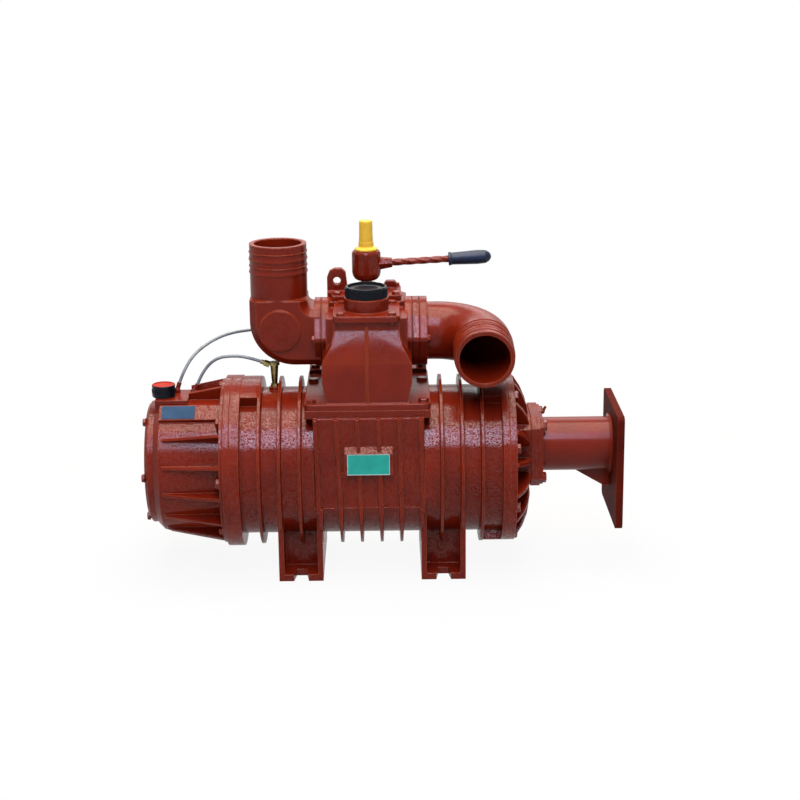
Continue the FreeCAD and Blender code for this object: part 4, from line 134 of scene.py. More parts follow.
@dataclass(frozen=True)
class Finish:
    """How a surface looks: its colours, its gloss and the grain that its making leaves.

    Lengths are in metres. `drift` is the size of the slow changes in colour. Each grain is really
    under half a millimetre, too fine for the render, so it is drawn as coarse as it needs to show.
    """

    name: str
    colour: str
    deep: str
    slot: str
    roughness: float = 0.4
    metallic: float = 0.0
    specular: float = 0.5
    coat: float = 0.0
    coat_roughness: float = 0.1
    coat_speckle: float = 0.0
    grain: float = 0.0015
    grain_depth: float = 0.00004
    drift: float = 0.03
    patchy: float = 0.15

    def surface_normal(self, tree: bpy.types.NodeTree) -> bpy.types.NodeSocket | None:
        """The normal that the grain is laid over, or None for the mesh's own."""
        return None

    def lighten_edges(self, tree: bpy.types.NodeTree, colour: bpy.types.NodeSocket,
             normal: bpy.types.NodeSocket | None) -> bpy.types.NodeSocket:
        """Changes the colour at edges, for thinner paint and a painted highlight there; plain finishes
        don't.
        """
        return colour

    def material(self) -> bpy.types.Material:
        """Builds the material once and then gives it again.

        Returns:
            The material.
        """
        known = bpy.data.materials.get(self.name)
        if known:
            return known
        made = bpy.data.materials.new(self.name)
        tree = fresh_tree(made)
        place = add(tree, "ShaderNodeTexCoord").outputs["Object"]
        slow = add(tree, "ShaderNodeTexNoise", {
            "Vector": place, "Scale": 1.0 / self.drift, "Detail": 4.0})
        fine = add(tree, "ShaderNodeTexNoise", {
            "Vector": place, "Scale": 1.0 / self.grain, "Detail": 3.0, "Roughness": 0.6})
        shift = add(tree, "ShaderNodeMapRange", {
            "Value": slow.outputs["Fac"], "From Min": DRIFT_RANGE[0], "From Max": DRIFT_RANGE[1]})
        tone = add(tree, "ShaderNodeMix", {
            0: shift.outputs["Result"], 6: linear(self.colour), 7: linear(self.deep)}, data_type="RGBA")
        gloss = add(tree, "ShaderNodeMapRange", {
            "Value": fine.outputs["Fac"], "From Min": GRAIN_RANGE[0], "From Max": GRAIN_RANGE[1],
            "To Min": self.roughness * (1.0 - self.patchy),
            "To Max": self.roughness * (1.0 + self.patchy)})
        under = self.surface_normal(tree)
        relief = add(tree, "ShaderNodeBump", {
            "Height": fine.outputs["Fac"], "Distance": self.grain_depth})
        if under is not None:
            tree.links.new(under, relief.inputs["Normal"])
        colour = self.lighten_edges(tree, tone.outputs[2], under)
        coat = self.coat
        if self.coat_speckle:
            coat = add(tree, "ShaderNodeMapRange", {
                "Value": fine.outputs["Fac"], "From Min": SPECKLE_RANGE[0], "From Max": SPECKLE_RANGE[1],
                "To Min": self.coat * (1.0 - self.coat_speckle),
                "To Max": self.coat * (1.0 + self.coat_speckle)}).outputs["Result"]
        shader = add(tree, "ShaderNodeBsdfPrincipled", {
            "Base Color": colour, "Roughness": gloss.outputs["Result"], "Metallic": self.metallic,
            "Specular IOR Level": self.specular, "Coat Weight": coat,
            "Coat Roughness": self.coat_roughness, "Normal": relief.outputs["Normal"],
            "Coat Normal": relief.outputs["Normal"]})
        add(tree, "ShaderNodeOutputMaterial", {"Surface": shader.outputs["BSDF"]})
        return made


@dataclass(frozen=True)
class SprayedEnamel(Finish):
    """Gloss enamel sprayed over iron: it rounds each edge and thins on the outer ones, and its edges also
    carry a painted highlight.

    `edge_likeness` is how far the rounded normal agrees with the flat one where the paint starts
    to lighten and where it is lightest, and `edge_share` is how much of the edge's colour it then has.
    """

    # Lighter edge colour: thinner paint plus a painted highlight along each edge.
    thin_edge_and_highlight_colour: str = "#a4461f"
    edge_radius: float = 0.0016
    edge_likeness: tuple[float, float] = (0.99, 0.80)
    edge_share: float = 0.7

    def surface_normal(self, tree: bpy.types.NodeTree) -> bpy.types.NodeSocket:
        """Rounds the edges by the paint's own radius."""
        return add(tree, "ShaderNodeBevel", {"Radius": self.edge_radius}, samples=4).outputs["Normal"]

    def lighten_edges(self, tree: bpy.types.NodeTree, colour: bpy.types.NodeSocket,
             normal: bpy.types.NodeSocket | None) -> bpy.types.NodeSocket:
        """Lightens the paint where the rounded normal leaves the flat one, at an edge, for thinner paint
        and a painted highlight there.

        Args:
            tree: the material's tree.
            colour: the paint's colour.
            normal: the rounded normal.

        Returns:
            The colour with its lighter edges.
        """
        flat = add(tree, "ShaderNodeNewGeometry").outputs["True Normal"]
        likeness = add(tree, "ShaderNodeVectorMath", {0: flat, 1: normal}, operation="DOT_PRODUCT")
        # The painted highlight and the thinner paint grow as the rounded normal parts from the flat one.
        edge = add(tree, "ShaderNodeMapRange", {
            "Value": likeness.outputs["Value"], "From Min": self.edge_likeness[0],
            "From Max": self.edge_likeness[1], "To Max": self.edge_share})
        mix = add(tree, "ShaderNodeMix", {
            0: edge.outputs["Result"], 6: colour, 7: linear(self.thin_edge_and_highlight_colour)}, data_type="RGBA")
        return mix.outputs[2]


# Sand-cast iron under gloss enamel: the sand's grain, drawn 2.5 mm wide, speckles the highlights.
CAST_RED = SprayedEnamel("oxide_red_enamel_on_cast_iron", "#6c1a06", "#5e1405", "oxide_red_casting",
                         roughness=0.45, specular=0.03, coat=0.31, coat_roughness=0.05,
                         coat_speckle=0.9, grain=0.0025, grain_depth=0.00017, drift=0.06,
                         edge_radius=0.0022)
# The manifold's castings have rounder corners, so the paint's sheen rolls over them.
MANIFOLD_RED = SprayedEnamel("oxide_red_enamel_on_round_castings", "#6d1b07", "#5f1506",
                             "oxide_red_casting", roughness=0.45, specular=0.03, coat=0.31,
                             coat_roughness=0.19, coat_speckle=0.5, grain=0.0025,
                             grain_depth=0.00015, drift=0.06, edge_radius=0.0042)
# Rolled and welded steel under the same enamel: smoother, with an even sheen.
ROLLED_RED = SprayedEnamel("oxide_red_enamel_on_rolled_steel", "#6c1a07", "#601606", "oxide_red_casting",
                           roughness=0.42, specular=0.04, coat=0.27, coat_roughness=0.17,
                           coat_speckle=0.2, grain=0.0040, grain_depth=0.00010, drift=0.05,
                           edge_radius=0.0010)
# Flame-cut plate, sprayed last and thinly, so it stays duller than the tube.
PLATE_RED = SprayedEnamel("oxide_red_enamel_on_cut_plate", "#51160a", "#441209", "oxide_red_casting",
                          roughness=0.7, specular=0.02, coat=0.02, coat_roughness=0.30,
                          grain=0.0040, grain_depth=0.00010, drift=0.05, edge_radius=0.0010)
# Zinc-plated bolts painted over with the pump.
BOLT_RED = SprayedEnamel("oxide_red_enamel_on_bolts", "#6c1c08", "#5c1406", "painted_bolts",
                         roughness=0.36, specular=0.10, coat=0.35, coat_roughness=0.1, coat_speckle=0.4,
                         grain=0.0020, grain_depth=0.00008, drift=0.02, edge_radius=0.0006)
# Polypropylene caps from a mould: satin, with a faint blue-grey bloom.
BLACK_PLASTIC = Finish("moulded_black_polypropylene", "#060b15", "#04080e", "black_plastic",
                       roughness=0.34, specular=0.16, grain=0.0010, grain_depth=0.00003, drift=0.01)
# Dipped vinyl grip: softer and bluer than the caps.
GRIP_VINYL = Finish("dipped_black_vinyl", "#0a2038", "#071629", "black_plastic",
                    roughness=0.40, specular=0.26, grain=0.0016, grain_depth=0.00006, drift=0.012)
# Bright polyethylene cap over the changeover stem.
YELLOW_PLASTIC = Finish("moulded_yellow_polyethylene", "#d6b236", "#c8a22a", "yellow_plastic",
                        roughness=0.42, specular=0.3, grain=0.0015, grain_depth=0.00002, drift=0.02)
# Matt red insert in the filler cap.
RED_PLASTIC = Finish("moulded_red_polyethylene", "#a23022", "#95281b", "black_plastic",
                     roughness=0.5, specular=0.04, grain=0.0012, grain_depth=0.00002, drift=0.012)
# Anodised aluminium foil plates, left bare.
TEAL_PLATE = Finish("teal_anodised_plate", "#199886", "#158d7c", "teal_plate",
                    roughness=0.45, specular=0.25, grain=0.0008, grain_depth=0.00001, drift=0.02)
PALE_BORDER = Finish("pale_printed_border", "#9fb9b2", "#93ada6", "teal_plate",
                     roughness=0.5, specular=0.25, grain=0.0008, grain_depth=0.00001, drift=0.02)
BLUE_PLATE = Finish("blue_grey_anodised_plate", "#284560", "#203a54", "blue_plate",
                    roughness=0.42, specular=0.05, grain=0.0010, grain_depth=0.00001, drift=0.03)
DARK_BORDER = Finish("dark_printed_border", "#2b3947", "#26323e", "blue_plate",
                     roughness=0.45, specular=0.25, grain=0.0010, grain_depth=0.00001, drift=0.02)
# Turned brass with a thin passivated film, greenish where it has dulled.
BRASS = Finish("passivated_brass", "#a79a66", "#6f6a44", "fitting_brass", metallic=1.0,
               roughness=0.34, grain=0.0008, grain_depth=0.00003, drift=0.006)
VALVE_BRASS = Finish("cast_brass", "#b58f4c", "#8f6d38", "valve_brass", metallic=1.0,
                     roughness=0.4, grain=0.0015, grain_depth=0.00006, drift=0.02)
# Semi-clear nylon tube that oil has greyed.
NYLON = Finish("greyed_nylon_tube", "#7f8a8b", "#646e70", "line_nylon",
               roughness=0.34, specular=0.3, coat=0.2, grain=0.0020, grain_depth=0.00002, drift=0.02)
STEEL = Finish("ground_steel", "#b9b9b6", "#9d9d9a", "steel", metallic=1.0,
               roughness=0.28, grain=0.0006, grain_depth=0.00001, drift=0.02)
BARE_IRON = Finish("machined_grey_iron", "#7e7d7b", "#676664", "bare_iron", metallic=1.0,
                   roughness=0.45, grain=0.0010, grain_depth=0.00003, drift=0.02)
PUMP_METAL = Finish("die_cast_aluminium", "#a9abad", "#8f9193", "pump_case_metal", metallic=1.0,
                    roughness=0.42, grain=0.0010, grain_depth=0.00003, drift=0.02)
VANES = Finish("pressed_fibre_composite", "#4a3a2a", "#3b2e21", "vane_composite",
               roughness=0.6, grain=0.0012, grain_depth=0.00004, drift=0.01)
SEALS = Finish("nitrile_rubber", "#17181a", "#101112", "seal_rubber",
               roughness=0.55, grain=0.0008, grain_depth=0.00003, drift=0.01)
BALL = Finish("rubber_coated_ball", "#1d1d1e", "#151516", "ball_rubber",
              roughness=0.5, grain=0.0012, grain_depth=0.00005, drift=0.02)
# Pressed fibre gasket sheet, painted over at its edge.
GASKETS = Finish("painted_gasket_sheet", "#1c0c09", "#120706", "gasket_sheet",
                 roughness=0.6, specular=0.2, grain=0.0012, grain_depth=0.00006, drift=0.01)


class Edges(Enum):
    """How far a piece's outer edges are rounded, in metres, by the way it is made."""

    CAST = 0.0011
    WELDED = 0.0008
    TURNED = 0.0004
    MOULDED = 0.0005
    SHARP = 0.0


# Meshes

def put(name: str, data: bpy.types.ID) -> bpy.types.Object:
    """Puts a new object in the scene.

    Args:
        name: the object's name.
        data: its mesh, curve, light or camera.

    Returns:
        The object.
    """
    made = bpy.data.objects.new(name, data)
    bpy.context.scene.collection.objects.link(made)
    return made


def link(name: str, mesh: bpy.types.Mesh, finish: Finish, body: str, *nodes: str) -> bpy.types.Object:
    """Puts a finished mesh in the scene as a piece.

    Args:
        name: the piece's name.
        mesh: its mesh, with its place in it.
        finish: the finish that it wears.
        body: the body that it rides on.
        nodes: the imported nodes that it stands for.

    Returns:
        The piece.
    """
    piece = put(name, mesh)
    if not mesh.materials:
        mesh.materials.append(finish.material())
    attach(piece, body)
    if nodes:
        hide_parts(*nodes)
    LOG.info("%s: %d faces on %s", name, len(mesh.polygons), body)
    return piece


def welded_copy(node: str) -> bmesh.types.BMesh:
    """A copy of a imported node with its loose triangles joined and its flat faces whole.

    Args:
        node: the node's name.

    Returns:
        The copy as an open bmesh, which the caller frees.
    """
    copy = bmesh.new()
    copy.from_mesh(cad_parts[node].data)
    bmesh.ops.remove_doubles(copy, verts=copy.verts, dist=WELD_DISTANCE)
    bmesh.ops.dissolve_limit(copy, angle_limit=FLAT_WITHIN, verts=copy.verts, edges=copy.edges)
    return copy


def mesh_of(name: str, copy: bmesh.types.BMesh) -> bpy.types.Mesh:
    """Turns an open bmesh into a mesh and frees it.

    Args:
        name: the mesh's name.
        copy: the bmesh.

    Returns:
        The mesh.
    """
    mesh = bpy.data.meshes.new(name)
    copy.to_mesh(mesh)
    copy.free()
    return mesh


def smooth(mesh: bpy.types.Mesh, sharp_degrees: float) -> None:
    """Shades a mesh smooth but for its edges sharper than an angle."""
    mesh.shade_smooth()
    mesh.set_sharp_from_angle(angle=math.radians(sharp_degrees))


def evaluated(piece: bpy.types.Object, name: str) -> bpy.types.Mesh:
    """Takes the mesh that an object's modifiers make of it and removes the object itself.

    Args:
        piece: the object.
        name: the mesh's name.

    Returns:
        The mesh.
    """
    bpy.context.view_layer.update()
    seen = piece.evaluated_get(bpy.context.evaluated_depsgraph_get())
    mesh = bpy.data.meshes.new_from_object(seen)
    mesh.name = name
    host = piece.data
    bpy.data.objects.remove(piece)
    bpy.data.meshes.remove(host)
    return mesh


def skin(node: str, finish: Finish, edges: Edges, body: str = PUMP_BODY,
         sharp_degrees: float = 28.0) -> bpy.types.Object:
    """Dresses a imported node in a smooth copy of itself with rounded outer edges.

    Args:
        node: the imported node.
        finish: the finish of the copy.
        edges: how far its outer edges are rounded.
        body: the body that it rides on.
        sharp_degrees: edges flatter than this are shaded smooth.

    Returns:
        The piece that stands for the node.
    """
    mesh = mesh_of(node + "_skin", welded_copy(node))
    smooth(mesh, sharp_degrees)
    host = put(node + "_host", mesh)
    if edges is not Edges.SHARP:
        rounding = host.modifiers.new("rounding", "BEVEL")
        rounding.width = edges.value
        rounding.segments = ROUNDING_STEPS
        rounding.limit_method = "ANGLE"
        rounding.angle_limit = math.radians(sharp_degrees + ROUNDED_PAST)
        rounding.use_clamp_overlap = True
    evening = host.modifiers.new("evening", "WEIGHTED_NORMAL")
    evening.weight = WIDE_FACE_WEIGHT
    evening.keep_sharp = True
    mesh = evaluated(host, node + "_skin")
    return link(node + "_skin", mesh, finish, body, node)


def islands(node: str) -> list[tuple[Vector, Vector]]:
    """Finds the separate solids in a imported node.

    Args:
        node: the node's name.

    Returns:
        The lowest and highest corner of each solid.
    """
    copy = welded_copy(node)
    copy.verts.ensure_lookup_table()
    found: list[tuple[Vector, Vector]] = []
    seen: set[int] = set()
    for start in copy.verts:
        if start.index in seen:
            continue
        reached = [start]
        seen.add(start.index)
        for vertex in reached:
            for edge in vertex.link_edges:
                other = edge.other_vert(vertex)
                if other.index not in seen:
                    seen.add(other.index)
                    reached.append(other)
        low = Vector([min(vertex.co[axis] for vertex in reached) for axis in range(3)])
        high = Vector([max(vertex.co[axis] for vertex in reached) for axis in range(3)])
        found.append((low, high))
    copy.free()
    return found


class Growth:
    """A Geometry Nodes tree with named sizes, which grows a plain mesh on a host."""

    def __init__(self, name: str, sizes: Mapping[str, float | int]) -> None:
        """Makes the tree and its inputs.

        Args:
            name: the tree's name.
            sizes: its named inputs and their values; whole numbers become counts.
        """
        self.tree = bpy.data.node_groups.new(name, "GeometryNodeTree")
        self.values: dict[str, Any] = {}
        self.interface("Geometry", "NodeSocketGeometry")
        for label, value in sizes.items():
            kind = "NodeSocketInt" if isinstance(value, int) else "NodeSocketFloat"
            self.values[self.interface(label, kind)] = value
        self.material_id = self.interface("Finish", "NodeSocketMaterial")
        self.tree.interface.new_socket(name="Geometry", in_out="OUTPUT", socket_type="NodeSocketGeometry")
        self.inputs = add(self.tree, "NodeGroupInput").outputs

    def interface(self, label: str, kind: str) -> str:
        """Adds one named input and returns its identifier."""
        return self.tree.interface.new_socket(name=label, in_out="INPUT", socket_type=kind).identifier

    def on_points(self, shape: bpy.types.Node, turn: bpy.types.Node | None = None) -> bpy.types.Node:
        """Puts a shape on each point of the host, facing its way and scaled by its radius.

        Args:
            shape: the node that makes the shape, upright and for a radius of one.
            turn: the node that turns it about its own axis, or None.

        Returns:
            The node that puts it there.
        """
        facing = add(self.tree, "GeometryNodeInputNamedAttribute", {"Name": "facing"},
                     data_type="FLOAT_VECTOR")
        radius = add(self.tree, "GeometryNodeInputNamedAttribute", {"Name": "radius"},
                     data_type="FLOAT")
        stance = add(self.tree, "FunctionNodeAlignRotationToVector", {"Vector": facing}, axis="Z")
        if turn is not None:
            stance = add(self.tree, "FunctionNodeRotateRotation", {0: stance, 1: turn},
                         rotation_space="LOCAL")
        return add(self.tree, "GeometryNodeInstanceOnPoints", {
            "Points": self.inputs["Geometry"], "Instance": shape, "Rotation": stance,
            "Scale": radius})

    def grow(self, result: bpy.types.Node, host: bpy.types.Mesh, finish: Finish,
             sharp_degrees: float = 30.0) -> bpy.types.Mesh:
        """Ends the tree and turns what it makes into a plain mesh.

        Args:
            result: the node that gives the whole geometry.
            host: the mesh that it starts from.
            finish: the finish that it sets.
            sharp_degrees: edges flatter than this are shaded smooth.

        Returns:
            The mesh.
        """
        real = add(self.tree, "GeometryNodeRealizeInstances", {"Geometry": result})
        dressed = add(self.tree, "GeometryNodeSetMaterial", {
            "Geometry": real, "Material": self.inputs["Finish"]})
        add(self.tree, "NodeGroupOutput", {"Geometry": dressed})
        piece = put(self.tree.name + "_host", host)
        modifier = piece.modifiers.new("growth", "NODES")
        modifier.node_group = self.tree
        for identifier, value in self.values.items():
            modifier[identifier] = value
        modifier[self.material_id] = finish.material()
        mesh = evaluated(piece, self.tree.name)
        smooth(mesh, sharp_degrees)
        return mesh


def host_of(points: Iterable[Vector], facing: Iterable[Vector] = (),
            radii: Iterable[float] = ()) -> bpy.types.Mesh:
    """Makes a mesh of loose points.

    Args:
        points: their places.
        facing: the direction that each one faces, if any.
        radii: the radius at each one, if any.

    Returns:
        The mesh.
    """
    mesh = bpy.data.meshes.new("host")
    mesh.from_pydata([tuple(point) for point in points], [], [])
    if facing:
        store = mesh.attributes.new("facing", "FLOAT_VECTOR", "POINT")
        store.data.foreach_set("vector", [value for way in facing for value in way])
    if radii:
        store = mesh.attributes.new("radius", "FLOAT", "POINT")
        store.data.foreach_set("value", list(radii))
    return mesh


# Sub-assemblies

class HeadWay(Enum):
    """Which way the heads of a set of bolts point."""

    UP = "up"
    REARWARD = "rearward"
    DRIVEWARD = "driveward"
    OUTWARD = "outward"

    def at(self, along: float) -> Vector:
        """Tells which way a head points.

        Args:
            along: its place along the pump, in metres from the middle.

        Returns:
            The way, of length one.
        """
        if self is HeadWay.UP:
            return UPWARDS.copy()
        if self is HeadWay.OUTWARD:
            return ALONG_PUMP * math.copysign(1.0, along)
        return -ALONG_PUMP if self is HeadWay.REARWARD else ALONG_PUMP.copy()


@dataclass
class BoltSet:
    """Hexagon bolts with washers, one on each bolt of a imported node, grown from points.

    The sizes are multiples of a bolt's own shank radius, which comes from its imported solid. The
    head is a prism for `prism_share` of its height and then narrows to `crown_share` of its width.
    """

    node: str
    way: HeadWay
    across_flats: float = 3.3
    head_height: float = 1.3
    washer_radius: float = 1.95
    washer: float = 0.2
    grip: float = 4.0
    prism_share: float = 0.76
    crown_share: float = 0.84
    washer_sides: int = 24
    shank_sides: int = 16
    seed: int = 7
    finish: Finish = BOLT_RED

    def seats(self) -> tuple[list[Vector], list[Vector], list[float]]:
        """Finds the bolts.

        Returns:
            Where each head sits, the way it points and the radius of its shank.
        """
        places: list[Vector] = []
        ways: list[Vector] = []
        radii: list[float] = []
        for low, high in islands(self.node):
            way = self.way.at((low.x + high.x) / 2.0)
            axis = max(range(3), key=lambda index: abs(way[index]))
            width = min(high[other] - low[other] for other in range(3) if other != axis)
            radius = width / self.across_flats
            seat = (low + high) / 2.0
            tip = high[axis] if way[axis] > 0.0 else low[axis]
            seat[axis] = tip - way[axis] * self.head_height * radius
            places.append(seat)
            ways.append(way)
            radii.append(radius)
        return places, ways, radii

    def one_bolt(self, growth: Growth) -> bpy.types.Node:
        """Joins the head, its crown, the washer and the shank of one bolt.

        Args:
            growth: the tree that it is made in.

        Returns:
            The node that joins them.
        """
        tree, size = growth.tree, growth.inputs
        corner = add(tree, "ShaderNodeMath", {0: size["Across flats"], 1: math.sqrt(3.0)},
                     operation="DIVIDE")
        rise = add(tree, "ShaderNodeMath", {0: size["Head height"], 1: size["Prism share"]},
                   operation="MULTIPLY")
        crown_height = add(tree, "ShaderNodeMath", {0: size["Head height"], 1: rise},
                           operation="SUBTRACT")
        crown_top = add(tree, "ShaderNodeMath", {0: corner, 1: size["Crown share"]},
                        operation="MULTIPLY")
        prism = add(tree, "GeometryNodeMeshCylinder", {
            "Vertices": HEXAGON, "Radius": corner, "Depth": rise})
        crown = add(tree, "GeometryNodeMeshCone", {
            "Vertices": HEXAGON, "Radius Bottom": corner, "Radius Top": crown_top,
            "Depth": crown_height})
        washer = add(tree, "GeometryNodeMeshCylinder", {
            "Vertices": self.washer_sides, "Radius": size["Washer radius"],
            "Depth": size["Washer thickness"]})
        shank = add(tree, "GeometryNodeMeshCylinder", {
            "Vertices": self.shank_sides, "Radius": 1.0, "Depth": size["Grip"]})
        whole = add(tree, "GeometryNodeJoinGeometry")
        # A cylinder grows about its middle and the crown from its foot.
        for part, height, share in ((prism, rise, 0.5), (crown, rise, 1.0),
                                    (washer, size["Washer thickness"], 0.5),
                                    (shank, size["Grip"], -0.5)):
            lift = add(tree, "ShaderNodeMath", {0: height, 1: share}, operation="MULTIPLY")
            shift = add(tree, "ShaderNodeCombineXYZ", {"Z": lift})
            lifted = add(tree, "GeometryNodeTransform", {"Geometry": part, "Translation": shift})
            tree.links.new(lifted.outputs[0], whole.inputs[0])
        return whole

    def build(self) -> None:
        """Grows the bolts, each turned by chance, and rides them on the pump."""
        places, ways, radii = self.seats()
        growth = Growth(self.node + "_heads", {
            "Across flats": self.across_flats, "Head height": self.head_height,
            "Washer radius": self.washer_radius, "Washer thickness": self.washer,
            "Grip": self.grip, "Prism share": self.prism_share, "Crown share": self.crown_share,
            "Seed": self.seed})
        spin = add(growth.tree, "FunctionNodeRandomValue", {
            2: 0.0, 3: 2.0 * math.pi / HEXAGON, "Seed": growth.inputs["Seed"]})
        angles = add(growth.tree, "ShaderNodeCombineXYZ", {"Z": spin.outputs[1]})
        turn = add(growth.tree, "FunctionNodeEulerToRotation", {0: angles})
        bolts = growth.on_points(self.one_bolt(growth), turn)
        mesh = growth.grow(bolts, host_of(places, ways, radii), self.finish)
        link(self.node + "_heads", mesh, self.finish, PUMP_BODY, self.node)


@dataclass
class PumpCasing:
    """The finned casing between its end plates, with the teal plate."""

    def build(self) -> None:
        """Dresses the casing and its plate."""
        skin("pump_casing", CAST_RED, Edges.CAST)
        skin("rear_bearing_plate", CAST_RED, Edges.CAST)
        BarePlate("name_plate", TEAL_PLATE, PALE_BORDER).build()


@dataclass
class BarePlate:
    """An anodised plate, bare inside a printed border that stands a little proud.

    Its front is a face of at least `front_share` of the area of the largest one.
    """

    node: str
    field_finish: Finish
    border_finish: Finish
    border: float = 1.6 * MM
    relief: float = 0.25 * MM
    front_share: float = 0.6

    def build(self) -> None:
        """Sinks the field of the plate's front face inside its border."""
        copy = welded_copy(self.node)
        largest = max(face.calc_area() for face in copy.faces)
        front = min((face for face in copy.faces if face.calc_area() > self.front_share * largest),
                    key=lambda face: face.normal.y)
        for face in copy.faces:
            face.material_index = 1
        bmesh.ops.inset_individual(copy, faces=[front], thickness=self.border, depth=-self.relief)
        front.material_index = 0
        mesh = mesh_of(self.node + "_bare", copy)
        mesh.materials.append(self.field_finish.material())
        mesh.materials.append(self.border_finish.material())
        link(self.node + "_bare", mesh, self.field_finish, PUMP_BODY, self.node)


@dataclass
class OilEnd:
    """Ribbed oil housing, its cover, bolts, blue plate and filler cap."""

    cap_ribs: int = 30
    painted_behind: float = -300.0 * MM

    def build(self) -> None:
        """Dresses the oil end."""
        skin("rear_oil_housing", CAST_RED, Edges.CAST)
        skin("rear_end_plate", CAST_RED, Edges.CAST)
        BarePlate("info_plate", BLUE_PLATE, DARK_BORDER, border=1.1 * MM).build()
        self.fittings()
        BoltSet("oil_end_bolts", HeadWay.REARWARD, washer=0.15, seed=3).build()
        low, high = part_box("filler_cap")
        ScrewCap("filler_cap", low, high, ribs=self.cap_ribs, dish=1.6 * MM, dish_reach=0.88,
                 insert=RED_PLASTIC, waist=1.2 * MM, rib_depth=0.5 * MM, rib_share=0.35,
                 seal="filler_seal").build()

    def fittings(self) -> None:
        """Brass fittings, but for the unions on the oil housing, which are painted with it."""
        piece = skin("oil_line_fittings", BRASS, Edges.TURNED)
        piece.data.materials.append(BOLT_RED.material())
        for polygon in piece.data.polygons:
            if polygon.center.x < self.painted_behind:
                polygon.material_index = 1


@dataclass
class ScrewCap:
    """A ribbed screw cap with a dished top, turned from a profile and grown ribs.

    The shares are parts of the cap's height or radius.
    """

    node: str
    low: Vector
    high: Vector
    ribs: int
    dish: float
    dish_reach: float
    insert: Finish | None = None
    waist: float = 0.0
    rib_width: float = 2.2 * MM
    rib_depth: float = 0.9 * MM
    rib_share: float = 0.72
    rib_drop_share: float = 0.06
    rib_sides: int = 10
    lip_radius: float = 1.0 * MM
    lip_fall: float = 0.3 * MM
    rounding: float = 1.8 * MM
    arc_steps: int = 6
    skirt: float = 2.0 * MM
    insert_past_share: float = 0.06
    insert_depth: float = 0.2 * MM
    segments: int = 96
    seal: str = ""

    def profile(self) -> list[tuple[float, float]]:
        """Draws the cap's outside, from the middle of its top to its skirt.

        Returns:
            Radius and height of each point.
        """
        reach = (self.high.x - self.low.x) / 2.0 - self.rib_depth
        top = self.high.z
        lip = reach * self.dish_reach
        floor = top - self.dish
        quarter = [math.pi / 2.0 * step / self.arc_steps for step in range(self.arc_steps + 1)]
        points = [(0.0, floor), (lip - 2.0 * self.lip_radius, floor)]
        points += [(lip - self.lip_radius + math.sin(angle) * self.lip_radius,
                    floor + (self.dish - self.lip_fall) * (1.0 - math.cos(angle))) for angle in quarter]
        points.append((lip + self.lip_radius, top))
        points += [(reach - self.rounding * (1.0 - math.sin(angle)),
                    top - self.rounding * (1.0 - math.cos(angle))) for angle in quarter]
        points.append((reach - self.waist, (self.low.z + top) / 2.0))
        points.append((reach, self.low.z + self.skirt))
        points.append((reach, self.low.z))
        points.append((0.0, self.low.z))
        return points

    def body_mesh(self) -> bpy.types.Mesh:
        """Turns the profile about the cap's middle.

        Returns:
            The turned mesh.
        """
        middle = (self.low + self.high) / 2.0
        turned = bmesh.new()
        verts = [turned.verts.new((middle.x + radius, middle.y, height))
                 for radius, height in self.profile()]
        edges = [turned.edges.new(pair) for pair in zip(verts, verts[1:])]
        bmesh.ops.spin(turned, geom=verts + edges, cent=middle, axis=UPWARDS, angle=2.0 * math.pi,
                       steps=self.segments, use_merge=True)
        bmesh.ops.remove_doubles(turned, verts=turned.verts, dist=POLE_DISTANCE)
        bmesh.ops.recalc_face_normals(turned, faces=turned.faces)
        return mesh_of(self.node + "_turned", turned)

    def build(self) -> None:
        """Grows the ribs round the turned cap and rides both on the cap's body."""
        middle = (self.low + self.high) / 2.0
        radius = (self.high.x - self.low.x) / 2.0
        height = self.high.z - self.low.z
        growth = Growth(self.node + "_grip", {
            "Ribs": self.ribs, "Radius": radius - self.rib_depth, "Rib width": self.rib_width,
            "Rib depth": self.rib_depth, "Rib height": height * self.rib_share,
            "Middle": middle.z - self.rib_drop_share * height})
        tree, size = growth.tree, growth.inputs
        circle = add(tree, "GeometryNodeCurvePrimitiveCircle", {
            "Resolution": size["Ribs"], "Radius": size["Radius"]})
        half_width = add(tree, "ShaderNodeMath", {0: size["Rib width"], 1: 0.5}, operation="MULTIPLY")
        bar = add(tree, "GeometryNodeMeshCylinder", {
            "Vertices": self.rib_sides, "Radius": half_width, "Depth": size["Rib height"]})
        twice_depth = add(tree, "ShaderNodeMath", {0: size["Rib depth"], 1: 2.0}, operation="MULTIPLY")
        squeeze = add(tree, "ShaderNodeMath", {0: twice_depth, 1: size["Rib width"]},
                      operation="DIVIDE")
        scale = add(tree, "ShaderNodeCombineXYZ", {"X": squeeze, "Y": 1.0, "Z": 1.0})
        flat = add(tree, "GeometryNodeTransform", {"Geometry": bar, "Scale": scale})
        outward = add(tree, "FunctionNodeAlignRotationToVector", {
            "Vector": add(tree, "GeometryNodeInputPosition")}, axis="X")
        ribs = add(tree, "GeometryNodeInstanceOnPoints", {
            "Points": circle, "Instance": flat, "Rotation": outward})
        shift = add(tree, "ShaderNodeCombineXYZ", {
            "X": middle.x, "Y": middle.y, "Z": size["Middle"]})
        lifted = add(tree, "GeometryNodeTransform", {"Geometry": ribs, "Translation": shift})
        joined = add(tree, "GeometryNodeJoinGeometry")
        for part in (size["Geometry"], lifted.outputs[0]):
            tree.links.new(part, joined.inputs[0])
        mesh = growth.grow(joined, self.body_mesh(), BLACK_PLASTIC)
        if self.insert:
            self.paint_insert(mesh, middle)
        link(self.node + "_moulded", mesh, BLACK_PLASTIC, self.node, self.node)
        if self.seal:
            skin(self.seal, SEALS, Edges.SHARP, body=self.seal)

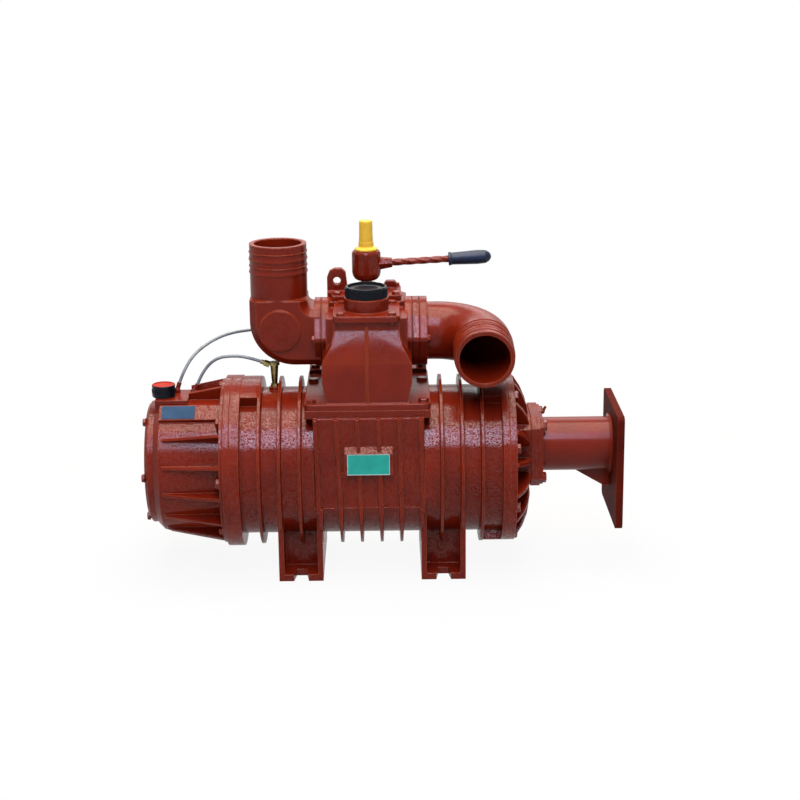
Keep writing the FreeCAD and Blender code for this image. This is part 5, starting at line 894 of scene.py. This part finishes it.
    def paint_insert(self, mesh: bpy.types.Mesh, middle: Vector) -> None:
        """Gives the dish of the cap its coloured insert.

        Args:
            mesh: the cap's mesh.
            middle: the cap's middle.
        """
        mesh.materials.append(self.insert.material())
        reach = (self.high.x - self.low.x) / 2.0 * (self.dish_reach + self.insert_past_share)
        floor = self.high.z - self.dish - self.insert_depth
        for polygon in mesh.polygons:
            place = polygon.center
            across = math.hypot(place.x - middle.x, place.y - middle.y)
            if across < reach and place.z > floor:
                polygon.material_index = len(mesh.materials) - 1


@dataclass
class DriveEnd:
    """Webbed cover, bearing housing, adapter with its gusset, and their bolts."""

    def build(self) -> None:
        """Dresses the drive end."""
        skin("drive_end_cover", CAST_RED, Edges.CAST)
        skin("bearing_housing", CAST_RED, Edges.WELDED)
        skin("drive_adapter", ROLLED_RED, Edges.WELDED)
        skin("motor_plate", PLATE_RED, Edges.WELDED)
        skin("grease_nipple", BOLT_RED, Edges.SHARP)
        BoltSet("drive_end_bolts", HeadWay.DRIVEWARD, washer=0.15, seed=5).build()


@dataclass
class Manifold:
    """The casting on the pad with its ports, elbows, covers and bolts."""

    body_sharp_degrees: float = 18.0

    def build(self) -> None:
        """Dresses the manifold and what is bolted to it."""
        skin("manifold_body", MANIFOLD_RED, Edges.CAST, sharp_degrees=self.body_sharp_degrees)
        skin("port_spacer", CAST_RED, Edges.WELDED)
        skin("left_elbow", MANIFOLD_RED, Edges.CAST)
        skin("right_elbow", MANIFOLD_RED, Edges.CAST)
        skin("access_plate", MANIFOLD_RED, Edges.WELDED)
        skin("valve_cover", MANIFOLD_RED, Edges.CAST)
        skin("port_gaskets", GASKETS, Edges.SHARP)
        BoltSet("manifold_bolts", HeadWay.UP, seed=11).build()
        BoltSet("port_bolts", HeadWay.OUTWARD, seed=13).build()
        BoltSet("top_bolts", HeadWay.UP, seed=17).build()
        HoseRidges().build()
        low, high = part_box("access_cap")
        ScrewCap("access_cap", low, high, ribs=46, dish=5.0 * MM, dish_reach=0.88,
                 rib_depth=1.3 * MM, seal="access_seal").build()


@dataclass(frozen=True)
class HoseTail:
    """A hose tail: its mouth, the way back along it, its radius and where its rings sit."""

    mouth: Vector
    back: Vector
    radius: float
    steps: tuple[float, ...]


@dataclass
class HoseRidges:
    """Fine cast rings between the saw-tooth ridges of each hose tail."""

    tails: tuple[HoseTail, ...] = (
        HoseTail(Vector((-158.0, 30.0, 576.0)) * MM, -UPWARDS, 50.0 * MM, (14.0 * MM, 38.5 * MM)),
        HoseTail(Vector((196.0, -119.0, 399.0)) * MM, Vector((0.0, 0.9936, 0.1132)), 51.0 * MM,
                 (14.0 * MM, 38.5 * MM, 61.5 * MM)))
    ring: float = 1.3 * MM
    sides: int = 10
    steps_round: int = 96

    def build(self) -> None:
        """Grows one ring at each step of each tail."""
        places, ways, radii = [], [], []
        for tail in self.tails:
            for step in tail.steps:
                places.append(tail.mouth + tail.back * step)
                ways.append(tail.back)
                radii.append(tail.radius)
        growth = Growth("hose_ridges", {
            "Ring radius": self.ring / self.tails[0].radius, "Sides": self.sides,
            "Steps round": self.steps_round})
        tree, size = growth.tree, growth.inputs
        circle = add(tree, "GeometryNodeCurvePrimitiveCircle", {
            "Resolution": size["Steps round"], "Radius": 1.0})
        section = add(tree, "GeometryNodeCurvePrimitiveCircle", {
            "Resolution": size["Sides"], "Radius": size["Ring radius"]})
        ring = add(tree, "GeometryNodeCurveToMesh", {"Curve": circle, "Profile Curve": section})
        mesh = growth.grow(growth.on_points(ring), host_of(places, ways, radii), MANIFOLD_RED)
        link("hose_ridges", mesh, MANIFOLD_RED, PUMP_BODY)


@dataclass
class ChangeoverLever:
    """Lever head, twisted bar, dipped grip and the yellow cap over the stem."""

    body: str = "changeover"
    axis: Vector = field(default_factory=lambda: Vector((-4.5, 72.0, 528.0)) * MM)
    slope: float = math.radians(3.0)
    plug_fit: float = 0.992
    bar_start: float = 36.0 * MM
    bar_end: float = 150.0 * MM
    bar_radius: float = 6.3 * MM
    flat: float = 0.075
    turns: float = 1.25
    steps: int = 120
    sides: int = 32
    corners: float = 4.0

    def build(self) -> None:
        """Dresses the lever and grows its bar."""
        plug = skin("changeover_plug", BARE_IRON, Edges.CAST, body=self.body)
        to_axis = Matrix.Translation((self.axis.x, self.axis.y, 0.0))
        plug.data.transform(to_axis @ Matrix.Diagonal((self.plug_fit, self.plug_fit, 1.0, 1.0))
                            @ to_axis.inverted())
        skin("lever_head", CAST_RED, Edges.CAST, body=self.body)
        skin("lever_grip", GRIP_VINYL, Edges.MOULDED, body=self.body)
        skin("lever_cap", YELLOW_PLASTIC, Edges.MOULDED, body="lever_cap")
        self.twisted_bar()

    def twisted_bar(self) -> None:
        """A square bar with worn corners, twisted along its length."""
        growth = Growth("lever_bar_twisted", {
            "Start": self.bar_start, "End": self.bar_end, "Radius": self.bar_radius,
            "Flat": self.flat, "Turns": self.turns, "Steps": self.steps})
        tree, size = growth.tree, growth.inputs
        start = add(tree, "ShaderNodeCombineXYZ", {"X": size["Start"]})
        end = add(tree, "ShaderNodeCombineXYZ", {"X": size["End"]})
        line = add(tree, "GeometryNodeCurvePrimitiveLine", {"Start": start, "End": end})
        fine = add(tree, "GeometryNodeResampleCurve", {"Curve": line, "Count": size["Steps"]})
        along = add(tree, "GeometryNodeSplineParameter").outputs["Factor"]
        turned = add(tree, "ShaderNodeMath", {0: along, 1: size["Turns"]}, operation="MULTIPLY")
        twist = add(tree, "ShaderNodeMath", {0: turned, 1: 2.0 * math.pi}, operation="MULTIPLY")
        tilted = add(tree, "GeometryNodeSetCurveTilt", {"Curve": fine, "Tilt": twist})
        circle = add(tree, "GeometryNodeCurvePrimitiveCircle", {
            "Resolution": self.sides, "Radius": size["Radius"]})
        # The circle is drawn in between its corners, by one less the cosine of their angle.
        place = add(tree, "GeometryNodeInputPosition")
        parts = add(tree, "ShaderNodeSeparateXYZ", {0: place}).outputs
        angle = add(tree, "ShaderNodeMath", {0: parts[1], 1: parts[0]}, operation="ARCTAN2")
        around = add(tree, "ShaderNodeMath", {0: angle, 1: self.corners}, operation="MULTIPLY")
        wave = add(tree, "ShaderNodeMath", {0: around}, operation="COSINE")
        between = add(tree, "ShaderNodeMath", {0: 1.0, 1: wave}, operation="SUBTRACT")
        drawn_in = add(tree, "ShaderNodeMath", {0: between, 1: size["Flat"]}, operation="MULTIPLY")
        shrink = add(tree, "ShaderNodeMath", {0: 1.0, 1: drawn_in}, operation="SUBTRACT")
        scaled = add(tree, "ShaderNodeVectorMath", {0: place, "Scale": shrink}, operation="SCALE")
        section = add(tree, "GeometryNodeSetPosition", {"Geometry": circle, "Position": scaled})
        bar = add(tree, "GeometryNodeCurveToMesh", {
            "Curve": tilted, "Profile Curve": section, "Fill Caps": True})
        mesh = growth.grow(bar, host_of([Vector()]), CAST_RED)
        mesh.transform(Matrix.Translation(self.axis) @ Matrix.Rotation(-self.slope, 4, "Y"))
        link("lever_bar_twisted", mesh, CAST_RED, self.body, "lever_bar")


@dataclass
class OilLines:
    """The two nylon oil lines from the oil housing to the casing."""

    radius: float = 2.8 * MM
    long_route: tuple[tuple[float, float, float], ...] = (
        (-339.27, 5.69, 325.18), (-331, 9, 350), (-308, 29, 384), (-262, 72, 404),
        (-205, 99, 406), (-150, 112, 406), (-104, 113, 401), (-82, 108, 384), (-80, 106, 357))
    long_length: float = 354.7 * MM
    short_route: tuple[tuple[float, float, float], ...] = (
        (-306.76, 0, 323.72), (-299, 0, 347), (-273, 0, 378), (-236, 0, 382),
        (-207, 0, 376.5), (-183, 0, 367.5))
    short_length: float = 155.2 * MM
    round_steps: int = 5
    steps_between: int = 12

    def line(self, name: str, route: tuple[tuple[float, float, float], ...], length: float) -> None:
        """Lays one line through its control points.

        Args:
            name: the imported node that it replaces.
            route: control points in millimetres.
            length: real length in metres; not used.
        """
        curve = bpy.data.curves.new(name + "_tube", "CURVE")
        curve.dimensions = "3D"
        curve.bevel_depth = self.radius
        curve.bevel_resolution = self.round_steps
        curve.resolution_u = self.steps_between
        curve.use_fill_caps = True
        spline = curve.splines.new("NURBS")
        spline.points.add(len(route) - 1)
        for point, place in zip(spline.points, route):
            point.co = (*(Vector(place) * MM), 1.0)
        spline.order_u = 3
        spline.use_endpoint_u = True
        curve.materials.append(NYLON.material())
        piece = put(name + "_tube", curve)
        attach(piece, PUMP_BODY)
        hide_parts(name)

    def build(self) -> None:
        """Lays both lines."""
        self.line("long_oil_line", self.long_route, self.long_length)
        self.line("short_oil_line", self.short_route, self.short_length)


@dataclass
class InnerParts:
    """What the casings hide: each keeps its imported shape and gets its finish."""

    finishes: Mapping[str, Finish] = field(default_factory=lambda: {
        "steel": STEEL, "bare_iron": BARE_IRON, "vane_composite": VANES, "seal_rubber": SEALS,
        "ball_rubber": BALL, "valve_brass": VALVE_BRASS, "pump_case_metal": PUMP_METAL,
        "oxide_red_casting": CAST_RED, "gasket_sheet": GASKETS, "fitting_brass": BRASS})

    def build(self) -> None:
        """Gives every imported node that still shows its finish."""
        for name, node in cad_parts.items():
            if node.hide_render:
                continue
            slots = [slot.material.name.split(".")[0] for slot in node.material_slots if slot.material]
            finish = self.finishes[slots[0]]
            node.material_slots[0].material = finish.material()
            LOG.info("%s keeps its shape in %s", name, finish.name)


# Studio

@dataclass(frozen=True)
class Lamp:
    """A soft box: where it stands, what it looks at, its size and power in watts."""

    name: str
    place: tuple[float, float, float]
    target: tuple[float, float, float]
    width: float
    height: float
    power: float
    colour: str = "#ffffff"

    def build(self) -> None:
        """Hangs the lamp and turns it to its target."""
        light = bpy.data.lights.new(self.name, "AREA")
        light.shape = "RECTANGLE"
        light.size = self.width
        light.size_y = self.height
        light.energy = self.power
        light.color = linear(self.colour)[:3]
        lamp = put(self.name, light)
        lamp.location = self.place
        look = Vector(self.target) - Vector(self.place)
        lamp.rotation_euler = look.to_track_quat("-Z", "Y").to_euler()


@dataclass
class Studio:
    """Camera at the photograph's angle, a pale floor, white surroundings and soft boxes."""

    place: Vector = field(default_factory=lambda: Vector((0.02539, -3.06702, 1.15904)))
    elevation: float = math.radians(15.7)
    azimuth: float = math.radians(0.5)
    roll: float = math.radians(0.6)
    sensor: float = 36.0
    lens: float = 81.0
    floor_half: float = 30.0
    shadow_share: float = 0.08
    shadow_near: float = 0.7
    shadow_far: float = 1.6
    ambient: float = 0.12
    lamps: tuple[Lamp, ...] = (
        Lamp("front_window", (0.0, -3.86, 4.70), (0.0, 0.0, 0.25), 2.2, 3.0, 318.0, "#e4e0ff"),
        Lamp("overhead_soft_box", (0.0, 0.0, 3.0), (0.0, 0.0, 0.3), 2.1, 2.7, 150.0, "#fff0e0"),
        Lamp("rear_soft_box", (0.3, 2.6, 1.9), (0.0, 0.0, 0.25), 2.2, 1.2, 22.0))

    def camera(self) -> None:
        """Sets up the camera with the photograph's view."""
        ahead = Vector((math.sin(self.azimuth) * math.cos(self.elevation),
                        math.cos(self.azimuth) * math.cos(self.elevation), -math.sin(self.elevation)))
        right = Vector((math.cos(self.azimuth), -math.sin(self.azimuth), 0.0))
        up = right.cross(ahead)
        turned_right = right * math.cos(self.roll) - up * math.sin(self.roll)
        turned_up = right * math.sin(self.roll) + up * math.cos(self.roll)
        data = bpy.data.cameras.new("photograph_view")
        data.sensor_width = self.sensor
        data.lens = self.lens
        camera = put("photograph_view", data)
        turn = Matrix((turned_right, turned_up, -ahead)).transposed().to_4x4()
        camera.matrix_world = Matrix.Translation(self.place) @ turn
        bpy.context.scene.camera = camera

    def seen_white(self, tree: bpy.types.NodeTree) -> bpy.types.NodeSocket:
        """Tells the eye and its reflections from the light.

        Args:
            tree: the tree that asks.

        Returns:
            One for a camera, glossy or transmission ray, and zero for any other.
        """
        path = add(tree, "ShaderNodeLightPath").outputs
        some = add(tree, "ShaderNodeMath", {0: path["Is Camera Ray"], 1: path["Is Glossy Ray"]},
                   operation="MAXIMUM")
        return add(tree, "ShaderNodeMath", {0: some.outputs[0], 1: path["Is Transmission Ray"]},
                   operation="MAXIMUM").outputs[0]

    def surroundings(self) -> None:
        """White round the pump for the eye and its reflections, dimmer as a light."""
        world = bpy.data.worlds.new("white_room")
        tree = fresh_tree(world)
        strength = add(tree, "ShaderNodeMapRange", {
            "Value": self.seen_white(tree), "To Min": self.ambient, "To Max": 1.0})
        room = add(tree, "ShaderNodeBackground", {
            "Strength": strength.outputs["Result"], "Color": linear("#ffffff")})
        add(tree, "ShaderNodeOutputWorld", {"Surface": room.outputs[0]})
        bpy.context.scene.world = world

    def floor(self) -> None:
        """Lays the pale floor, which keeps a light shadow of the pump."""
        reach = self.floor_half
        mesh = bpy.data.meshes.new("pale_floor")
        mesh.from_pydata([(-reach, -reach, 0.0), (reach, -reach, 0.0), (reach, reach, 0.0),
                          (-reach, reach, 0.0)], [], [(0, 1, 2, 3)])
        floor = put("pale_floor", mesh)
        paint = bpy.data.materials.new("matt_white_floor")
        tree = fresh_tree(paint)
        matt = add(tree, "ShaderNodeBsdfDiffuse", {"Color": linear("#c4c4c4")})
        bright = add(tree, "ShaderNodeEmission", {"Color": linear("#ffffff"), "Strength": 1.0})
        place = add(tree, "ShaderNodeTexCoord").outputs["Object"]
        reached = add(tree, "ShaderNodeVectorMath", {0: place}, operation="LENGTH")
        kept = add(tree, "ShaderNodeMapRange", {
            "Value": reached.outputs["Value"], "From Min": self.shadow_near,
            "From Max": self.shadow_far, "To Min": 1.0 - self.shadow_share, "To Max": 1.0})
        share = add(tree, "ShaderNodeMath", {0: self.seen_white(tree), 1: kept.outputs["Result"]},
                    operation="MULTIPLY")
        both = add(tree, "ShaderNodeMixShader", {0: share.outputs[0], 1: matt.outputs[0],
                                                 2: bright.outputs[0]})
        add(tree, "ShaderNodeOutputMaterial", {"Surface": both.outputs[0]})
        mesh.materials.append(paint)

    def build(self) -> None:
        """Sets the stage."""
        self.camera()
        self.surroundings()
        self.floor()
        for lamp in self.lamps:
            lamp.build()
        bpy.context.scene.view_settings.view_transform = "Standard"


def main() -> None:
    """Builds the studio and every sub-assembly in order."""
    logging.basicConfig(level=logging.INFO, format="%(name)s %(message)s")
    Studio().build()
    OilLines().build()
    for assembly in (PumpCasing(), OilEnd(), DriveEnd(), Manifold(), ChangeoverLever(), InnerParts()):
        assembly.build()


if __name__ == "__main__":
    main()
